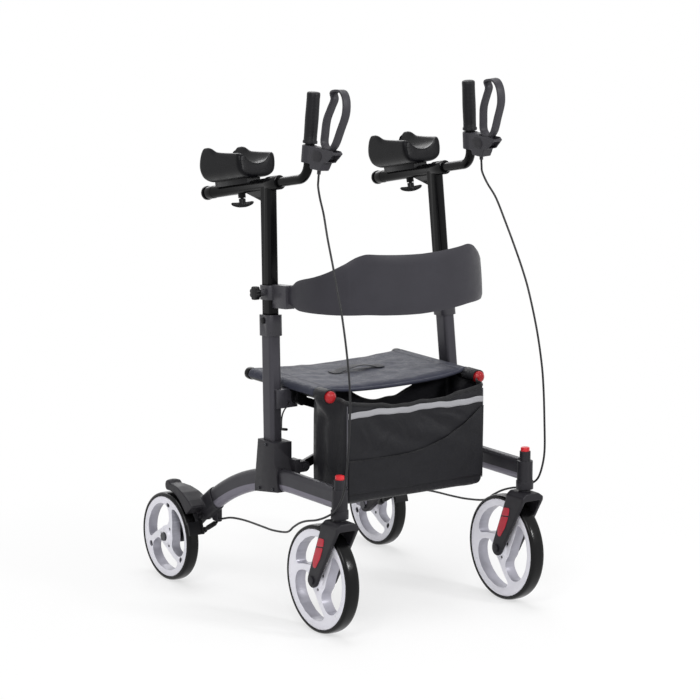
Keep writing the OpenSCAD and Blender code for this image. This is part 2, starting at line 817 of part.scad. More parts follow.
module rear_bracket(side) color(soft_black) placed(side) {
    difference() {
        union() {
            beam_arc(beam_w + 2 * socket_wall, beam_h + 2 * socket_wall,
                     beam_bend_deg - socket_deg, beam_bend_deg + socket_wall / beam_bend_r * 180 / PI);
            across(bracket_out - axle_arm_t, bracket_out) axle_arm_outline();
            on_rear_axle() across(bracket_out - axle_arm_t, hood_out) hood_outline();
            translate([frame_x - cable_block[0], cable_block_y, cable_block_top - cable_block[2]])
                cube(cable_block);
        }
        beam_arc(beam_w + 2 * seat_gap, beam_h + 2 * seat_gap,
                 beam_bend_deg - socket_deg - overrun, beam_bend_deg + hood_end_deg);
        on_rear_axle()
            rod_x(axle_r + run_gap, bracket_in, hood_out);
    }
    brake_pivot_place()
        rod_x(brake_pivot_r, bracket_out - socket_wall / 2, brake_arm_x + brake_arm_t + turn_gap);
}

module brake_arm(side) color(dark_grey) placed(side)
    difference() {
        union() {
            on_rear_axle() {
                across(brake_arm_x, brake_arm_x + brake_arm_t)
                    sector(shoe_r, shoe_r + brake_arm_d, brake_pivot_deg, shoe_degs[1]);
                across(brake_arm_x, rear_wheel_x + shoe_w / 2)
                    sector(shoe_r, shoe_r + shoe_t, shoe_degs[0], shoe_degs[1]);
            }
            brake_pivot_place()
                rod_x(2 * brake_pivot_r, brake_arm_x, brake_arm_x + brake_arm_t);
        }
        brake_pivot_place()
            rod_x(brake_pivot_r + run_gap, bracket_out, brake_arm_x + brake_arm_t + overrun);
    }

// Brake cable: one tube swept along its route
module cable_tube(path, d) {
    n = len(path);
    rings = [for (i = [0 : n - 1])
        let (t = unit(path[min(i + 1, n - 1)] - path[max(i - 1, 0)]))
        let (u = unit(cross(t, [1, 0, 0])), v = cross(t, u))
        for (k = [0 : cable_sides - 1])
            path[i] + d / 2 * (cos(360 * k / cable_sides) * u + sin(360 * k / cable_sides) * v)];
    m = cable_sides;
    walls = [for (i = [0 : n - 2], k = [0 : m - 1], h = [0, 1])
        let (a = i * m + k, b = i * m + (k + 1) % m)
        h == 0 ? [a, a + m, b + m] : [a, b + m, b]];
    caps = [for (k = [1 : m - 2], h = [0, 1])
        h == 0 ? [0, k, k + 1] : [(n - 1) * m, (n - 1) * m + k + 1, (n - 1) * m + k]];
    polyhedron(rings, concat(walls, caps));
}
module brake_cable(side) color(gloss_black) placed(side)
    cable_tube(open_curve(cable_route, cable_steps), cable_d);

// Post bracket with the lug for the brace's lower pivot
bracket_h = bracket_top - bracket_foot;
module bracket_outline() {
    mid = post_y - bracket_shift;
    polygon([[mid - bracket_foot_d / 2, bracket_foot + foot_rise],
             [mid + bracket_foot_d / 2, bracket_foot],
             [mid + bracket_foot_d / 2, bracket_foot + bracket_h * shoulder_share],
             [mid + bracket_top_d / 2, bracket_top], [mid - bracket_top_d / 2, bracket_top],
             [mid - bracket_top_d / 2, bracket_foot + bracket_h * step_shares[1]],
             [mid - bracket_top_d / 2 - step_d, bracket_foot + bracket_h * step_shares[0]],
             [mid - bracket_foot_d / 2, bracket_foot + bracket_h * shoulder_share]]);
}

function bar_mid(bar) = brace_y + bar * (bar_gap + bar_t) / 2;
cheek_in = bar_t / 2 + turn_gap;
cheek_out = cheek_in + lug_t;
// Both cheeks of a lug beside a brace bar, from an outline drawn in X and Z
module cheeks(bar) for (s = [-1, 1])
    along(bar_mid(bar) + min(s * cheek_in, s * cheek_out), bar_mid(bar) + max(s * cheek_in, s * cheek_out))
        children();

module post_shell(w, d, r, s0, s1) on_post() translate([0, 0, s0]) linear_extrude(s1 - s0) rounded(w, d, r);

module post_bracket(side) color(soft_black) placed(side) {
    bar = side == right ? bar_a : bar_b;
    lug_x = rail_x + bar_end_r + lug_gap;
    difference() {
        union() {
            across(post_x - bracket_w / 2, post_x + bracket_w / 2) bracket_outline();
            translate([lug_x, bar_mid(bar) - cheek_out, pivot_z - lug_h / 2])
                cube([lug_base, 2 * cheek_out, lug_h]);
            cheeks(bar) {
                translate([rail_x, pivot_z])
                    circle(bar_end_r);
                translate([rail_x, pivot_z - bar_end_r])
                    square([lug_x + overrun - rail_x, 2 * bar_end_r]);
            }
        }
        beam_run(beam_w + 2 * seat_gap, beam_h + 2 * seat_gap, swivel_y);
        beam_arc(beam_w + 2 * seat_gap, beam_h + 2 * seat_gap, 0, beam_bend_deg);
        post_shell(post_w + 2 * seat_gap, post_d + 2 * seat_gap, post_round + seat_gap,
                   -post_foot - seat_gap, lower_post_len);
        translate([rail_x, 0, pivot_z])
            rod_y(brace_bolt_r + run_gap, 0, rail_rear_y);
    }
}

// Rear axle bolt, the brace's pivot bolt and the bracket's screws
screw_r = 4;
screw_share = 0.3;
module frame_bolts(side) color(steel) placed(side) {
    bar = side == right ? bar_a : bar_b;
    on_rear_axle() {
        hub_end = rear_wheel_x + rear_tyre_w / 2 + hub_out + turn_gap;
        arm_end = bracket_out - axle_arm_t - run_gap;
        rod_x(axle_r, arm_end - bolt_head_t, hub_end + bolt_head_t);
        rod_x(axle_r + bolt_head, arm_end - bolt_head_t, arm_end);
        rod_x(axle_r + bolt_head, hub_end, hub_end + bolt_head_t);
    }
    translate([rail_x, bar_mid(bar), pivot_z]) {
        rod_y(brace_bolt_r, -cheek_out - bolt_head_t, cheek_out + bolt_head_t);
        for (s = [-1, 1])
            translate([0, s * (cheek_out + run_gap + bolt_head_t / 2), 0])
                rod_y(brace_bolt_r + bolt_head, -bolt_head_t / 2, bolt_head_t / 2);
    }
    translate([post_x + bracket_w / 2 + run_gap, post_y - bracket_shift, 0]) {
        for (y = [-1, 1])
            translate([0, y * bracket_foot_d * screw_share,
                       bracket_foot + (bracket_h * shoulder_share + (1 - y) / 2 * foot_rise) / 2])
                rod_x(screw_r, 0, bolt_head_t / 2);
        translate([0, 0, bracket_top - 2 * screw_r])
            rod_x(screw_r, 0, bolt_head_t / 2);
    }
}

// Posts
module lower_post(side) color(gunmetal) placed(side)
    difference() {
        post_shell(post_w, post_d, post_round, -post_foot, lower_post_len);
        post_shell(post_w - 2 * post_wall, post_d - 2 * post_wall, post_round - post_wall,
                   -post_foot + post_wall, lower_post_len + overrun);
    }

module rail_saddle() difference() {
    translate([rail_x - saddle_reach, saddle_y, rail_z - saddle_top_drop - saddle_h])
        cube([post_x - rail_x + saddle_reach, saddle_d, saddle_h]);
    post_shell(post_w + 2 * seat_gap, post_d + 2 * seat_gap, post_round + seat_gap, 0, collar_start);
    translate([rail_x, 0, rail_z])
        rod_y(rail_r + soft_gap, rail_front_y, rail_rear_y);
}

module post_fittings(side) color(soft_black) placed(side) {
    difference() {
        post_shell(post_w + 2 * collar_wall, post_d + 2 * collar_wall, post_round + collar_wall,
                   collar_start, collar_start + collar_h);
        post_shell(post_w + 2 * seat_gap, post_d + 2 * seat_gap, post_round + seat_gap,
                   collar_start - overrun, lower_post_len + seat_gap);
        post_shell(inner_w + 2 * slide_gap, inner_d + 2 * slide_gap, inner_round + slide_gap,
                   collar_start, collar_start + collar_h + overrun);
        on_post() translate([0, 0, height_button_s])
            rod_x(height_button_r + tube_gap, 0, post_w);
    }
    rail_saddle();
}

module height_button(side) color(gloss_black) placed(side) on_post()
    translate([0, 0, height_button_s])
        rod_x(height_button_r, inner_w / 2 + height_button_in, post_w / 2 + collar_wall + height_button_out);

// Back clamp, its knob and the strap between the two clamps
module back_clamp(side) color(soft_black) placed(side) on_post() {
    mid = clamp_start + clamp_h / 2;
    difference() {
        union() {
            translate([0, 0, clamp_start])
                linear_extrude(clamp_h)
                    rounded(ring_w, ring_d, ring_round);
            translate([block_x - block_w / 2, -block_front, mid - block_drop - block_h / 2])
                cube([block_w, block_front, block_h]);
            translate([0, 0, mid])
                rod_x(boss_r, 0, ring_w / 2 + boss_len);
        }
        translate([0, 0, mid - block_drop - block_h])
            linear_extrude(2 * block_h)
                rounded(inner_w + 2 * slide_gap, inner_d + 2 * slide_gap, inner_round + slide_gap);
        translate([0, 0, mid])
            rod_x(knob_stem_r + run_gap, inner_w / 2, ring_w / 2 + boss_len + overrun);
    }
}

module back_knob(side) color(gloss_black) placed(side) on_post()
    translate([ring_w / 2 + boss_len + knob_gap, 0, clamp_start + clamp_h / 2]) {
        rod_x(knob_stem_r, clamp_wall - boss_len, overrun);
        difference() {
            rod_x(back_knob_r, 0, back_knob_t);
            for (k = [0 : knob_lobes - 1])
                rotate([360 * k / knob_lobes, 0, 0])
                    translate([0, 0, back_knob_r + lobe_cut_r / 2])
                        rod_x(lobe_cut_r, -overrun, back_knob_t + overrun);
        }
    }

function strap_plan(a, side) = let (
    p = [strap_end[0] * signed_pow(cos(a), strap_power), -strap_reach * pow(sin(a), strap_power)],
    away = [signed_pow(cos(a), 2 - strap_power) / strap_end[0],
            -pow(sin(a), 2 - strap_power) / strap_reach])
    p + side * strap_t / 2 * unit(away);
function strap_edge(a, up) = strap_end[2] + lookup(min(a, 180 - a), up ? strap_tops : strap_lows);
// The strap's ends lean with the posts
function strap_point(a, side, up) = let (
    p = strap_plan(a, side), z = strap_edge(a, up), lean = (z - strap_end[2]) * abs(cos(a)))
    [p[0] - lean * tan(lean_in) * sign(cos(a)), strap_end[1] + p[1] + lean * tan(lean_back), z];

module back_strap() color(charcoal) placed(left) {
    n = strap_steps;
    ends = [for (i = [0 : n]) let (a = 180 * i / n)
        for (c = [[1, false], [1, true], [-1, true], [-1, false]]) strap_point(a, c[0], c[1])];
    walls = [for (i = [0 : n - 1], k = [0 : 3], h = [0, 1])
        let (a = 4 * i + k, b = 4 * i + (k + 1) % 4)
        h == 0 ? [a, b, b + 4] : [a, b + 4, a + 4]];
    caps = [[0, 2, 1], [0, 3, 2], [4 * n, 4 * n + 1, 4 * n + 2], [4 * n, 4 * n + 2, 4 * n + 3]];
    polyhedron(ends, concat(walls, caps));
}

// Folding brace
module brace_bar(bar) along(bar_mid(bar) - bar_t / 2, bar_mid(bar) + bar_t / 2)
    translate([0, brace_mid_z])
        rotate(-bar * brace_angle)
            difference() {
                union() {
                    square([brace_len, bar_h], center = true);
                    for (x = [-1, 0, 1])
                        translate([x * brace_len / 2, 0])
                            circle(bar_end_r);
                }
                for (x = [-1, 0, 1])
                    translate([x * brace_len / 2, 0])
                        circle(brace_bolt_r + run_gap);
            }
module brace_bar_a() color(gloss_black) placed(left) brace_bar(bar_a);
module brace_bar_b() color(gloss_black) placed(left) brace_bar(bar_b);
module brace_bolt() color(steel) placed(left) translate([0, brace_y, brace_mid_z]) {
    grip = bar_t + bar_gap / 2 + run_gap;
    rod_y(brace_bolt_r, -grip - bolt_head_t, grip + bolt_head_t);
    for (s = [-1, 1])
        translate([0, s * (grip + bolt_head_t / 2), 0])
            rod_y(brace_bolt_r + bolt_head, -bolt_head_t / 2, bolt_head_t / 2);
}

// Seat rails with the lugs for the brace's upper pivots
module seat_rail(side) color(gloss_black) placed(side) {
    bar = side == right ? bar_b : bar_a;
    difference() {
        union() {
            translate([rail_x, 0, rail_z])
                rod_y(rail_r, rail_front_y, rail_rear_y);
            cheeks(bar) {
                translate([rail_x, upper_pivot_z])
                    circle(bar_end_r);
                translate([rail_x - bar_end_r, upper_pivot_z])
                    square([2 * bar_end_r, lug_drop]);
            }
        }
        translate([rail_x, 0, rail_z])
            rod_y(rail_r - rail_wall, rail_front_y - overrun, rail_rear_y - rail_wall);
    }
    translate([rail_x, bar_mid(bar), upper_pivot_z])
        rod_y(brace_bolt_r, -cheek_out, cheek_out);
}

module rail_cap(side) color(red) placed(side) translate([rail_x, rail_front_y, rail_z]) rotate([90, 0, 0]) {
    cylinder(r = cap_r, h = cap_len - cap_r / 2);
    translate([0, 0, cap_len - cap_r / 2])
        cylinder(r1 = cap_r, r2 = cap_r / 2, h = cap_r / 2);
}

wrap_steps = 8;
sag_steps = 24;
function sling_line(r) = concat(
    [for (i = [0 : wrap_steps]) [rail_x, rail_z] + polar(r, 90 * i / wrap_steps)],
    [for (i = [1 : sag_steps - 1]) let (x = 1 - 2 * i / sag_steps)
        [rail_x * x, rail_z + r - sling_sag * (1 - x * x)]],
    [for (i = [0 : wrap_steps]) [-rail_x, rail_z] + polar(r, 90 + 90 * i / wrap_steps)]);
module seat_sling() color(seat_grey) placed(left) along(sling_front_y, sling_rear_y) {
    outer = sling_line(rail_r + soft_gap + sling_t);
    inner = sling_line(rail_r + soft_gap);
    polygon(concat(outer, [for (i = [len(inner) - 1 : -1 : 0]) inner[i]]));
}

// Tote bag, open at the top and hung from the rails by two loops
loop_back = 4;
loop_y = rail_front_y + loop_back;
loop_tab = 8;
module bag_plan(inset, h)
    translate([0, (bag_front_y + bag_back_y) / 2])
        linear_extrude(h)
            rounded(2 * (bag_half_w - inset), bag_back_y - bag_front_y - 2 * inset, bag_round - inset);
module bag_scoop() along(bag_front_y - overrun, bag_back_y + overrun) polygon(concat(
    [for (i = [0 : sag_steps]) let (x = 1 - 2 * i / sag_steps)
        [bag_half_w * x, bag_top - bag_sag * (1 - x * x)]],
    [[-bag_half_w, bag_top + overrun], [bag_half_w, bag_top + overrun]]));
module tote_bag() color(soft_black) placed(left) difference() {
    union() {
        difference() {
            translate([0, 0, bag_bottom])
                bag_plan(0, bag_top - bag_bottom);
            bag_scoop();
        }
        for (s = [-1, 1]) {
            translate([s * (bag_half_w - loop_tab / 2) - loop_tab, loop_y, bag_top - 2 * bag_round])
                cube([2 * loop_tab, loop_w, rail_z - bag_top + 2 * bag_round]);
            translate([s * rail_x, loop_y, rail_z])
                rod_y(rail_r + soft_gap + loop_t, 0, loop_w);
        }
    }
    translate([0, 0, bag_bottom + bag_wall])
        bag_plan(bag_wall, bag_top);
    for (s = [-1, 1])
        translate([s * rail_x, 0, rail_z])
            rod_y(rail_r + soft_gap, 0, rail_rear_y);
}

// Upper post: inner post, arm tube, mouth bush, gusset and the wing knob's boss in one weldment
arm_mouth = arm_front + bush_over;
module upper_post(side) color(gloss_black) placed(side)
    difference() {
        union() {
            difference() {
                post_shell(inner_w, inner_d, inner_round, inner_post_start, arm_s);
                post_shell(inner_w - 2 * post_wall, inner_d - 2 * post_wall, inner_round - post_wall,
                           inner_post_start - overrun, arm_s - 2 * arm_r);
            }
            on_arm() {
                rod_y(arm_r, -arm_front, arm_rear);
                rod_y(arm_r + bush_wall, -arm_mouth, bush_len - arm_mouth);
                rod_y(arm_r + bush_wall, arm_rear, arm_rear + arm_cap_t);
                across(-gusset_t / 2, gusset_t / 2)
                    polygon([[0, -gusset_lap], [inner_d / 2 + gusset_len, -gusset_lap],
                             [inner_d / 2 + gusset_len, -arm_r], [0, -arm_r - gusset_h]]);
                translate([0, wing_y, -arm_r - wing_boss_h])
                    cylinder(r = wing_boss_r, h = wing_boss_h + arm_r / 2);
            }
        }
        on_arm() {
            rod_y(handle_r + arm_bore_gap, -arm_mouth - overrun, arm_rear - arm_cap_t);
            translate([0, wing_y, -arm_r - wing_boss_h - overrun])
                cylinder(r = wing_stem_r + run_gap, h = wing_boss_h + overrun);
        }
    }

module wing_knob(side) color(gloss_black) placed(side) on_arm()
    translate([0, wing_y, -arm_r - wing_boss_h - knob_gap]) rotate([180, 0, side * wing_turn]) {
        translate([0, 0, -wing_boss_h + turn_gap])
            cylinder(r = wing_stem_r, h = wing_boss_h);
        cylinder(r = wing_hub_r, h = wing_hub_h);
        translate([-wing_t / 2, -wing_span / 2, wing_hub_h - wing_h])
            cube([wing_t, wing_span, wing_h]);
    }

// Forearm pad: a trough with a hump on its walls, and the plate that sits on the arm tube
module trough(w, h, r, lift) {
    translate([-w / 2, lift + r])
        square([w, h - r]);
    translate([-w / 2 + r, lift])
        square([w - 2 * r, h]);
    for (s = [-1, 1])
        translate([s * (w / 2 - r), lift + r])
            circle(r);
}

module arm_pad(side) color(soft_black) placed(side) on_arm()
    difference() {
        union() {
            intersection() {
                along(pad_front, pad_front + pad_len)
                    difference() {
                        trough(pad_w, pad_rear_h + overrun, pad_round, pad_lift);
                        trough(pad_w - 2 * pad_wall, pad_rear_h, pad_w / 2 - pad_wall - trough_flat,
                               pad_lift + pad_floor);
                    }
                across(-pad_w, pad_w)
                    polygon(concat(
                        [[pad_front + pad_len, 0], [pad_front, 0]],
                        [for (p = pad_top_shares)
                            [pad_front + pad_len * p[0], pad_lift + pad_rear_h * p[1]]]));
            }
            along(pad_front + pad_round, pad_front + pad_len - pad_round)
                translate([-pad_plate_w / 2, arm_r - pad_plate_lap])
                    square([pad_plate_w, pad_lift - arm_r + pad_plate_lap + overrun]);
        }
        rod_y(arm_r + seat_gap, -arm_front, arm_rear);
    }

// Handle tube, grip and brake
module handle_tube(side) color(gloss_black) placed(side) on_handle()
    difference() {
        union() {
            rod_y(handle_r, bend_setback - handle_reach - overrun, handle_in);
            translate([0, bend_setback - handle_reach, handle_bend_r])
                rotate([0, -90, 0])
                    rotate([0, 0, 180])
                        rotate_extrude(angle = handle_bend_deg)
                            translate([handle_bend_r, 0])
                                circle(handle_r + bend_swell);
            handle_run()
                translate([0, 0, bend_setback - overrun])
                    cylinder(r = handle_r, h = upright_len - bend_setback + overrun);
        }
        rod_y(handle_r - handle_wall, bend_setback - handle_reach + handle_wall, handle_in + overrun);
        handle_run()
            translate([0, 0, bend_setback + handle_wall])
                cylinder(r = handle_r - handle_wall, h = upright_len);
    }

module hand_grip(side) color(soft_black) placed(side) on_upright()
    difference() {
        union() {
            translate([0, 0, grip_start])
                cylinder(r = grip_r, h = grip_len - grip_round);
            translate([0, 0, grip_start])
                cylinder(r = grip_end_r, h = grip_flange);
            translate([0, 0, grip_start + grip_len - grip_round])
                cylinder(r1 = grip_r, r2 = grip_r - grip_round, h = grip_round);
        }
        translate([0, 0, grip_start - overrun])
            cylinder(r = handle_r + run_gap, h = upright_len - grip_start + overrun + run_gap);
    }

function housing_point(p) = [-housing_reach * p[0], housing_top * p[1]];
module brake_housing(side) color(dark_grey) placed(side) on_upright() {
    difference() {
        union() {
            translate([0, 0, housing_start])
                cylinder(r = housing_clamp_r, h = housing_h);
            across(-housing_w / 2, housing_w / 2)
                polygon([for (p = housing_shares) housing_point(p)]);
            translate([0, -housing_reach * adjuster_share, adjuster_start])
                cylinder(r = adjuster_r, h = adjuster_len);
        }
        cylinder(r = handle_r + tube_gap, h = upright_len);
        across(-lever_w / 2 - turn_gap, lever_w / 2 + turn_gap)
            polygon([for (p = slot_shares) housing_point(p)]);
        translate([0, -housing_reach * adjuster_share, adjuster_start - overrun])
            cylinder(r = cable_d / 2 + soft_gap, h = adjuster_len);
    }
    translate([0, -lever_pivot_f, lever_pivot_s])
        rod_x(lever_pin_r, -housing_w / 2 + overrun, housing_w / 2 - overrun);
}

lever_line = closed_curve([for (p = lever_shares) [-lever_top * p[0], lever_top * p[1]]], lever_steps);
lever_base = [-lever_pivot_f, lever_top * lever_shares[0][1]];
module brake_lever(side) color(dark_grey) placed(side) on_upright()
    difference() {
        union() {
            across(-lever_w / 2, lever_w / 2)
                difference() {
                    polygon(beside(lever_line, lever_t / 2));
                    polygon(beside(lever_line, -lever_t / 2));
                }
            across(-lever_w / 2, lever_w / 2) {
                translate([-lever_pivot_f, lever_pivot_s])
                    circle(lever_boss_r);
                translate([-lever_pivot_f - lever_web_w / 2, lever_pivot_s])
                    square([lever_web_w, lever_base[1] - lever_pivot_s]);
            }
        }
        translate([0, -lever_pivot_f, lever_pivot_s])
            rod_x(lever_pin_r + run_gap, -lever_w, lever_w);
    }

beam(left);  // beam_left
beam(right);  // beam_right
caster_housing(left);  // caster_housing_left
caster_housing(right);  // caster_housing_right
caster_button(left);  // caster_button_left
caster_button(right);  // caster_button_right
caster_fork(left);  // caster_fork_left
caster_fork(right);  // caster_fork_right
front_rim(left);  // front_rim_left
front_rim(right);  // front_rim_right
front_tyre(left);  // front_tyre_left
front_tyre(right);  // front_tyre_right
rear_bracket(left);  // rear_bracket_left
rear_bracket(right);  // rear_bracket_right
rear_rim(left);  // rear_rim_left
rear_rim(right);  // rear_rim_right
rear_tyre(left);  // rear_tyre_left
rear_tyre(right);  // rear_tyre_right
brake_arm(left);  // brake_arm_left
brake_arm(right);  // brake_arm_right
brake_cable(left);  // brake_cable_left
brake_cable(right);  // brake_cable_right
post_bracket(left);  // post_bracket_left
post_bracket(right);  // post_bracket_right
frame_bolts(left);  // frame_bolts_left
frame_bolts(right);  // frame_bolts_right
lower_post(left);  // lower_post_left
lower_post(right);  // lower_post_right
post_fittings(left);  // post_fittings_left
post_fittings(right);  // post_fittings_right
height_button(left);  // height_button_left
height_button(right);  // height_button_right
upper_post(left);  // upper_post_left
upper_post(right);  // upper_post_right
arm_pad(left);  // arm_pad_left
arm_pad(right);  // arm_pad_right
wing_knob(left);  // wing_knob_left
wing_knob(right);  // wing_knob_right
handle_tube(left);  // handle_tube_left
handle_tube(right);  // handle_tube_right
hand_grip(left);  // hand_grip_left
hand_grip(right);  // hand_grip_right
brake_housing(left);  // brake_housing_left
brake_housing(right);  // brake_housing_right
brake_lever(left);  // brake_lever_left
brake_lever(right);  // brake_lever_right
back_clamp(left);  // back_clamp_left
back_clamp(right);  // back_clamp_right
back_knob(left);  // back_knob_left
back_knob(right);  // back_knob_right
seat_rail(left);  // seat_rail_left
seat_rail(right);  // seat_rail_right
rail_cap(left);  // rail_cap_left
rail_cap(right);  // rail_cap_right
brace_bar_a();
brace_bar_b();
brace_bolt();
seat_sling();
tote_bag();
back_strap();
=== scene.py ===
import json
import bmesh
import bpy
from math import acos, asin, atan2, copysign, cos, degrees, dist, exp, hypot, pi, radians as rad, sin, sqrt, tan, tau
from mathutils import Matrix, Vector, noise

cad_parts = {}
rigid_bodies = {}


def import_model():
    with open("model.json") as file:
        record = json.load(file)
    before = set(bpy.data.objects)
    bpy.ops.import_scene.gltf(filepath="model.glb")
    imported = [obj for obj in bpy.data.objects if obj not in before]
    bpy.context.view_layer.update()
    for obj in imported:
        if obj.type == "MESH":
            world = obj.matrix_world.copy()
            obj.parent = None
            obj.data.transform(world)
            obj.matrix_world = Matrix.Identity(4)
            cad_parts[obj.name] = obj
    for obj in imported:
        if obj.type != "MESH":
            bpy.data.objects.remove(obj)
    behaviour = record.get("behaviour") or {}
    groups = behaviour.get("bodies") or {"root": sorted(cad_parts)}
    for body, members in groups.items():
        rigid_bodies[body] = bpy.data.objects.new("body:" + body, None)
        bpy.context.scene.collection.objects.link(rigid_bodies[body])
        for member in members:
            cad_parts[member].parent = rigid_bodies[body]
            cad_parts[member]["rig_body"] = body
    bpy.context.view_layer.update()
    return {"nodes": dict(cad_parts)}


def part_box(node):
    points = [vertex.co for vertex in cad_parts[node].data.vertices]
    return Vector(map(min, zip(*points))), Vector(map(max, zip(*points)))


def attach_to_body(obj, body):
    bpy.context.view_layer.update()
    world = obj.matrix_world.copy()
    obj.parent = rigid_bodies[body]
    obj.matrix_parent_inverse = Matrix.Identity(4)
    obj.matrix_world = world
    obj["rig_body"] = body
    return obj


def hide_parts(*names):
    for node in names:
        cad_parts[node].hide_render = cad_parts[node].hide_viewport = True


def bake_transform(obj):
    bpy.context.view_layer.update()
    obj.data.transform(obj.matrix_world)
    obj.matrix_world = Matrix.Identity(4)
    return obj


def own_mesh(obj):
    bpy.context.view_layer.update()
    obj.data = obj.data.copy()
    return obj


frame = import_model()
scene = bpy.context.scene
nodes = frame["nodes"]

# Sizes repeat the CAD source, in millimetres; y counts back from the front axle, which is at Y0 metres in the row frame
Y0 = -0.2895
SIDES = {"left": 1, "right": -1}
LEAN_BACK, LEAN_IN = 4.85, 2.1  # degrees of the posts


def P(x, y, z):
    return Vector((x / 1000, y / 1000 + Y0, z / 1000))


def turn(ax, ay, az):
    return (Matrix.Rotation(rad(az), 4, "Z") @ Matrix.Rotation(rad(ay), 4, "Y")
            @ Matrix.Rotation(rad(ax), 4, "X"))


def shift(x, y, z):
    return Matrix.Translation((x / 1000, y / 1000, z / 1000))


def clamp(u):
    return max(0.0, min(1.0, u))


def ease(u):
    return u * u * (3 - 2 * u)


def spread(a, b, n):
    """The n + 1 values from a to b in even steps."""
    return [a + (b - a) * i / n for i in range(n + 1)]


def at(m, x, y, z):
    """A point in millimetres in the frame m."""
    return m @ (Vector((x, y, z)) / 1000)


def ripple(x, y, z):
    return noise.noise(Vector((x, y, z)))


POST = Matrix.Translation(P(259, 217, 410)) @ turn(-LEAN_BACK, -LEAN_IN, 0)
ARM = POST @ shift(0, 0, 598) @ turn(-6.65, 0, -1.7)
UPRIGHT = ARM @ turn(0, -1.8, 0) @ shift(0, -157, 0) @ turn(13, 0, 0)

# The last number is how far under the beam's middle line the painted floor reflection on its lower flank begins, in
# millimetres
BEND_Y, BEND_R, BEAM_HALF, REFLECTION_DROP = 110, 630, 26, 8
BEAM_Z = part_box("beam_left")[1][2] * 1000 - BEAM_HALF

# Camera at the photograph's place
AZIMUTH, ELEVATION, ROLL = rad(-34.5426), rad(11.0141), rad(0.20519)
AIM, DISTANCE = P(-0.456, 275.908, 587.497), 7.72063
FOCAL_PX, PHOTO_PX, SENSOR = 3244.09, 700, 36
back = Vector((sin(AZIMUTH) * cos(ELEVATION), -cos(AZIMUTH) * cos(ELEVATION), sin(ELEVATION)))
right = Vector((cos(AZIMUTH), sin(AZIMUTH), 0))
up = back.cross(right)
rows = (right * cos(ROLL) + up * sin(ROLL), up * cos(ROLL) - right * sin(ROLL), back)
cam = bpy.data.objects.new("camera", bpy.data.cameras.new("camera"))
scene.collection.objects.link(cam)
cam.data.sensor_width = SENSOR
cam.data.lens = FOCAL_PX * SENSOR / PHOTO_PX
cam.data.clip_start, cam.data.clip_end = 0.5, 60
cam.matrix_world = Matrix.Translation(AIM + back * DISTANCE) @ Matrix(rows).transposed().to_4x4()
scene.camera = cam
scene.view_settings.view_transform = "Standard"


# Materials
def srgb(h):
    c = [int(h[i:i + 2], 16) / 255 for i in (1, 3, 5)]
    return [x / 12.92 if x <= 0.04045 else ((x + 0.055) / 1.055) ** 2.4 for x in c] + [1]


class Nodes:
    """A short way to write the nodes of a material or world."""

    def __init__(self, owner, shader="Principled BSDF"):
        owner.use_nodes = True
        self.m, self.t = owner, owner.node_tree
        self.b = self.t.nodes[shader]

    def add(self, kind, **values):
        n = self.t.nodes.new(kind)
        for k, v in values.items():
            setattr(n, k, v)
        return n

    def put(self, socket, v):
        """Links an output to a socket, or sets the socket's value."""
        if hasattr(v, "is_output"):
            self.t.links.new(v, socket)
        else:
            socket.default_value = v

    def set(self, node, **values):
        for k, v in values.items():
            self.put(node.inputs[k.replace("_", " ")], v)
        return node

    def where(self):
        return self.add("ShaderNodeTexCoord").outputs["Object"]

    def axes(self):
        return self.set(self.add("ShaderNodeSeparateXYZ"), Vector=self.where()).outputs

    def noise(self, scale, detail, rough=0.55):
        n = self.add("ShaderNodeTexNoise")
        return self.set(n, Vector=self.where(), Scale=scale, Detail=detail, Roughness=rough).outputs["Fac"]

    def ramp(self, fac, stops):
        """A ramp between two stops of (place, colour or grey)."""
        n = self.set(self.add("ShaderNodeValToRGB"), Fac=fac)
        for e, (p, c) in zip(n.color_ramp.elements, stops):
            e.position = p
            e.color = c if hasattr(c, "__len__") else (c, c, c, 1)
        return n.outputs["Color"]

    def math(self, op, *values):
        n = self.add("ShaderNodeMath", operation=op)
        for s, v in zip(n.inputs, values):
            self.put(s, v)
        return n.outputs[0]

    def length(self, vector):
        return self.set(self.add("ShaderNodeVectorMath", operation="LENGTH"), Vector=vector).outputs["Value"]

    def bump(self, height, strength, distance, under=None):
        n = self.set(self.add("ShaderNodeBump"), Height=height, Strength=strength, Distance=distance)
        if under is not None:
            self.set(n, Normal=under)
        return n.outputs["Normal"]

    def edge(self):
        """1 on the outer edges of a form and 0 on its faces."""
        return self.ramp(self.add("ShaderNodeNewGeometry").outputs["Pointiness"], [(0.52, 0), (0.62, 1)])

    def mix(self, fac, a, b):
        n = self.add("ShaderNodeMix", data_type="RGBA")
        for i, v in ((0, fac), (6, a), (7, b)):
            self.put(n.inputs[i], v)
        return n.outputs[2]

    def seen(self):
        """1 for rays that look at the stage, 0 for those that carry its light."""
        ray = self.add("ShaderNodeLightPath").outputs
        looks = self.math("MAXIMUM", ray["Is Camera Ray"], ray["Is Glossy Ray"])
        return self.math("MAXIMUM", looks, ray["Is Transmission Ray"])


def new_material(name):
    return Nodes(bpy.data.materials.new(name))


def tone(c, k):
    return [min(1, x * k) for x in c[:3]] + [1]


def moulded(name, colour, rough, grain, bump, wear=1.5, patch=0.16, spec=0.5, metal=0.0, coat=0.0):
    """Plastic or paint: grain, cloudy roughness, and lighter rubbed edges."""
    n = new_material(name)
    c = srgb(colour)
    base = n.ramp(n.noise(11, 4), [(0.3, tone(c, 1 - patch)), (0.7, tone(c, 1 + patch))])
    n.set(n.b, Base_Color=n.mix(n.edge(), base, tone(c, wear)),
          Roughness=n.ramp(n.noise(46, 5), [(0.3, rough - 0.06), (0.72, rough + 0.08)]),
          Normal=n.bump(n.noise(grain, 2), bump, 0.0004),
          Metallic=metal, Coat_Weight=coat, Coat_Roughness=0.12, Specular_IOR_Level=spec)
    return n.m


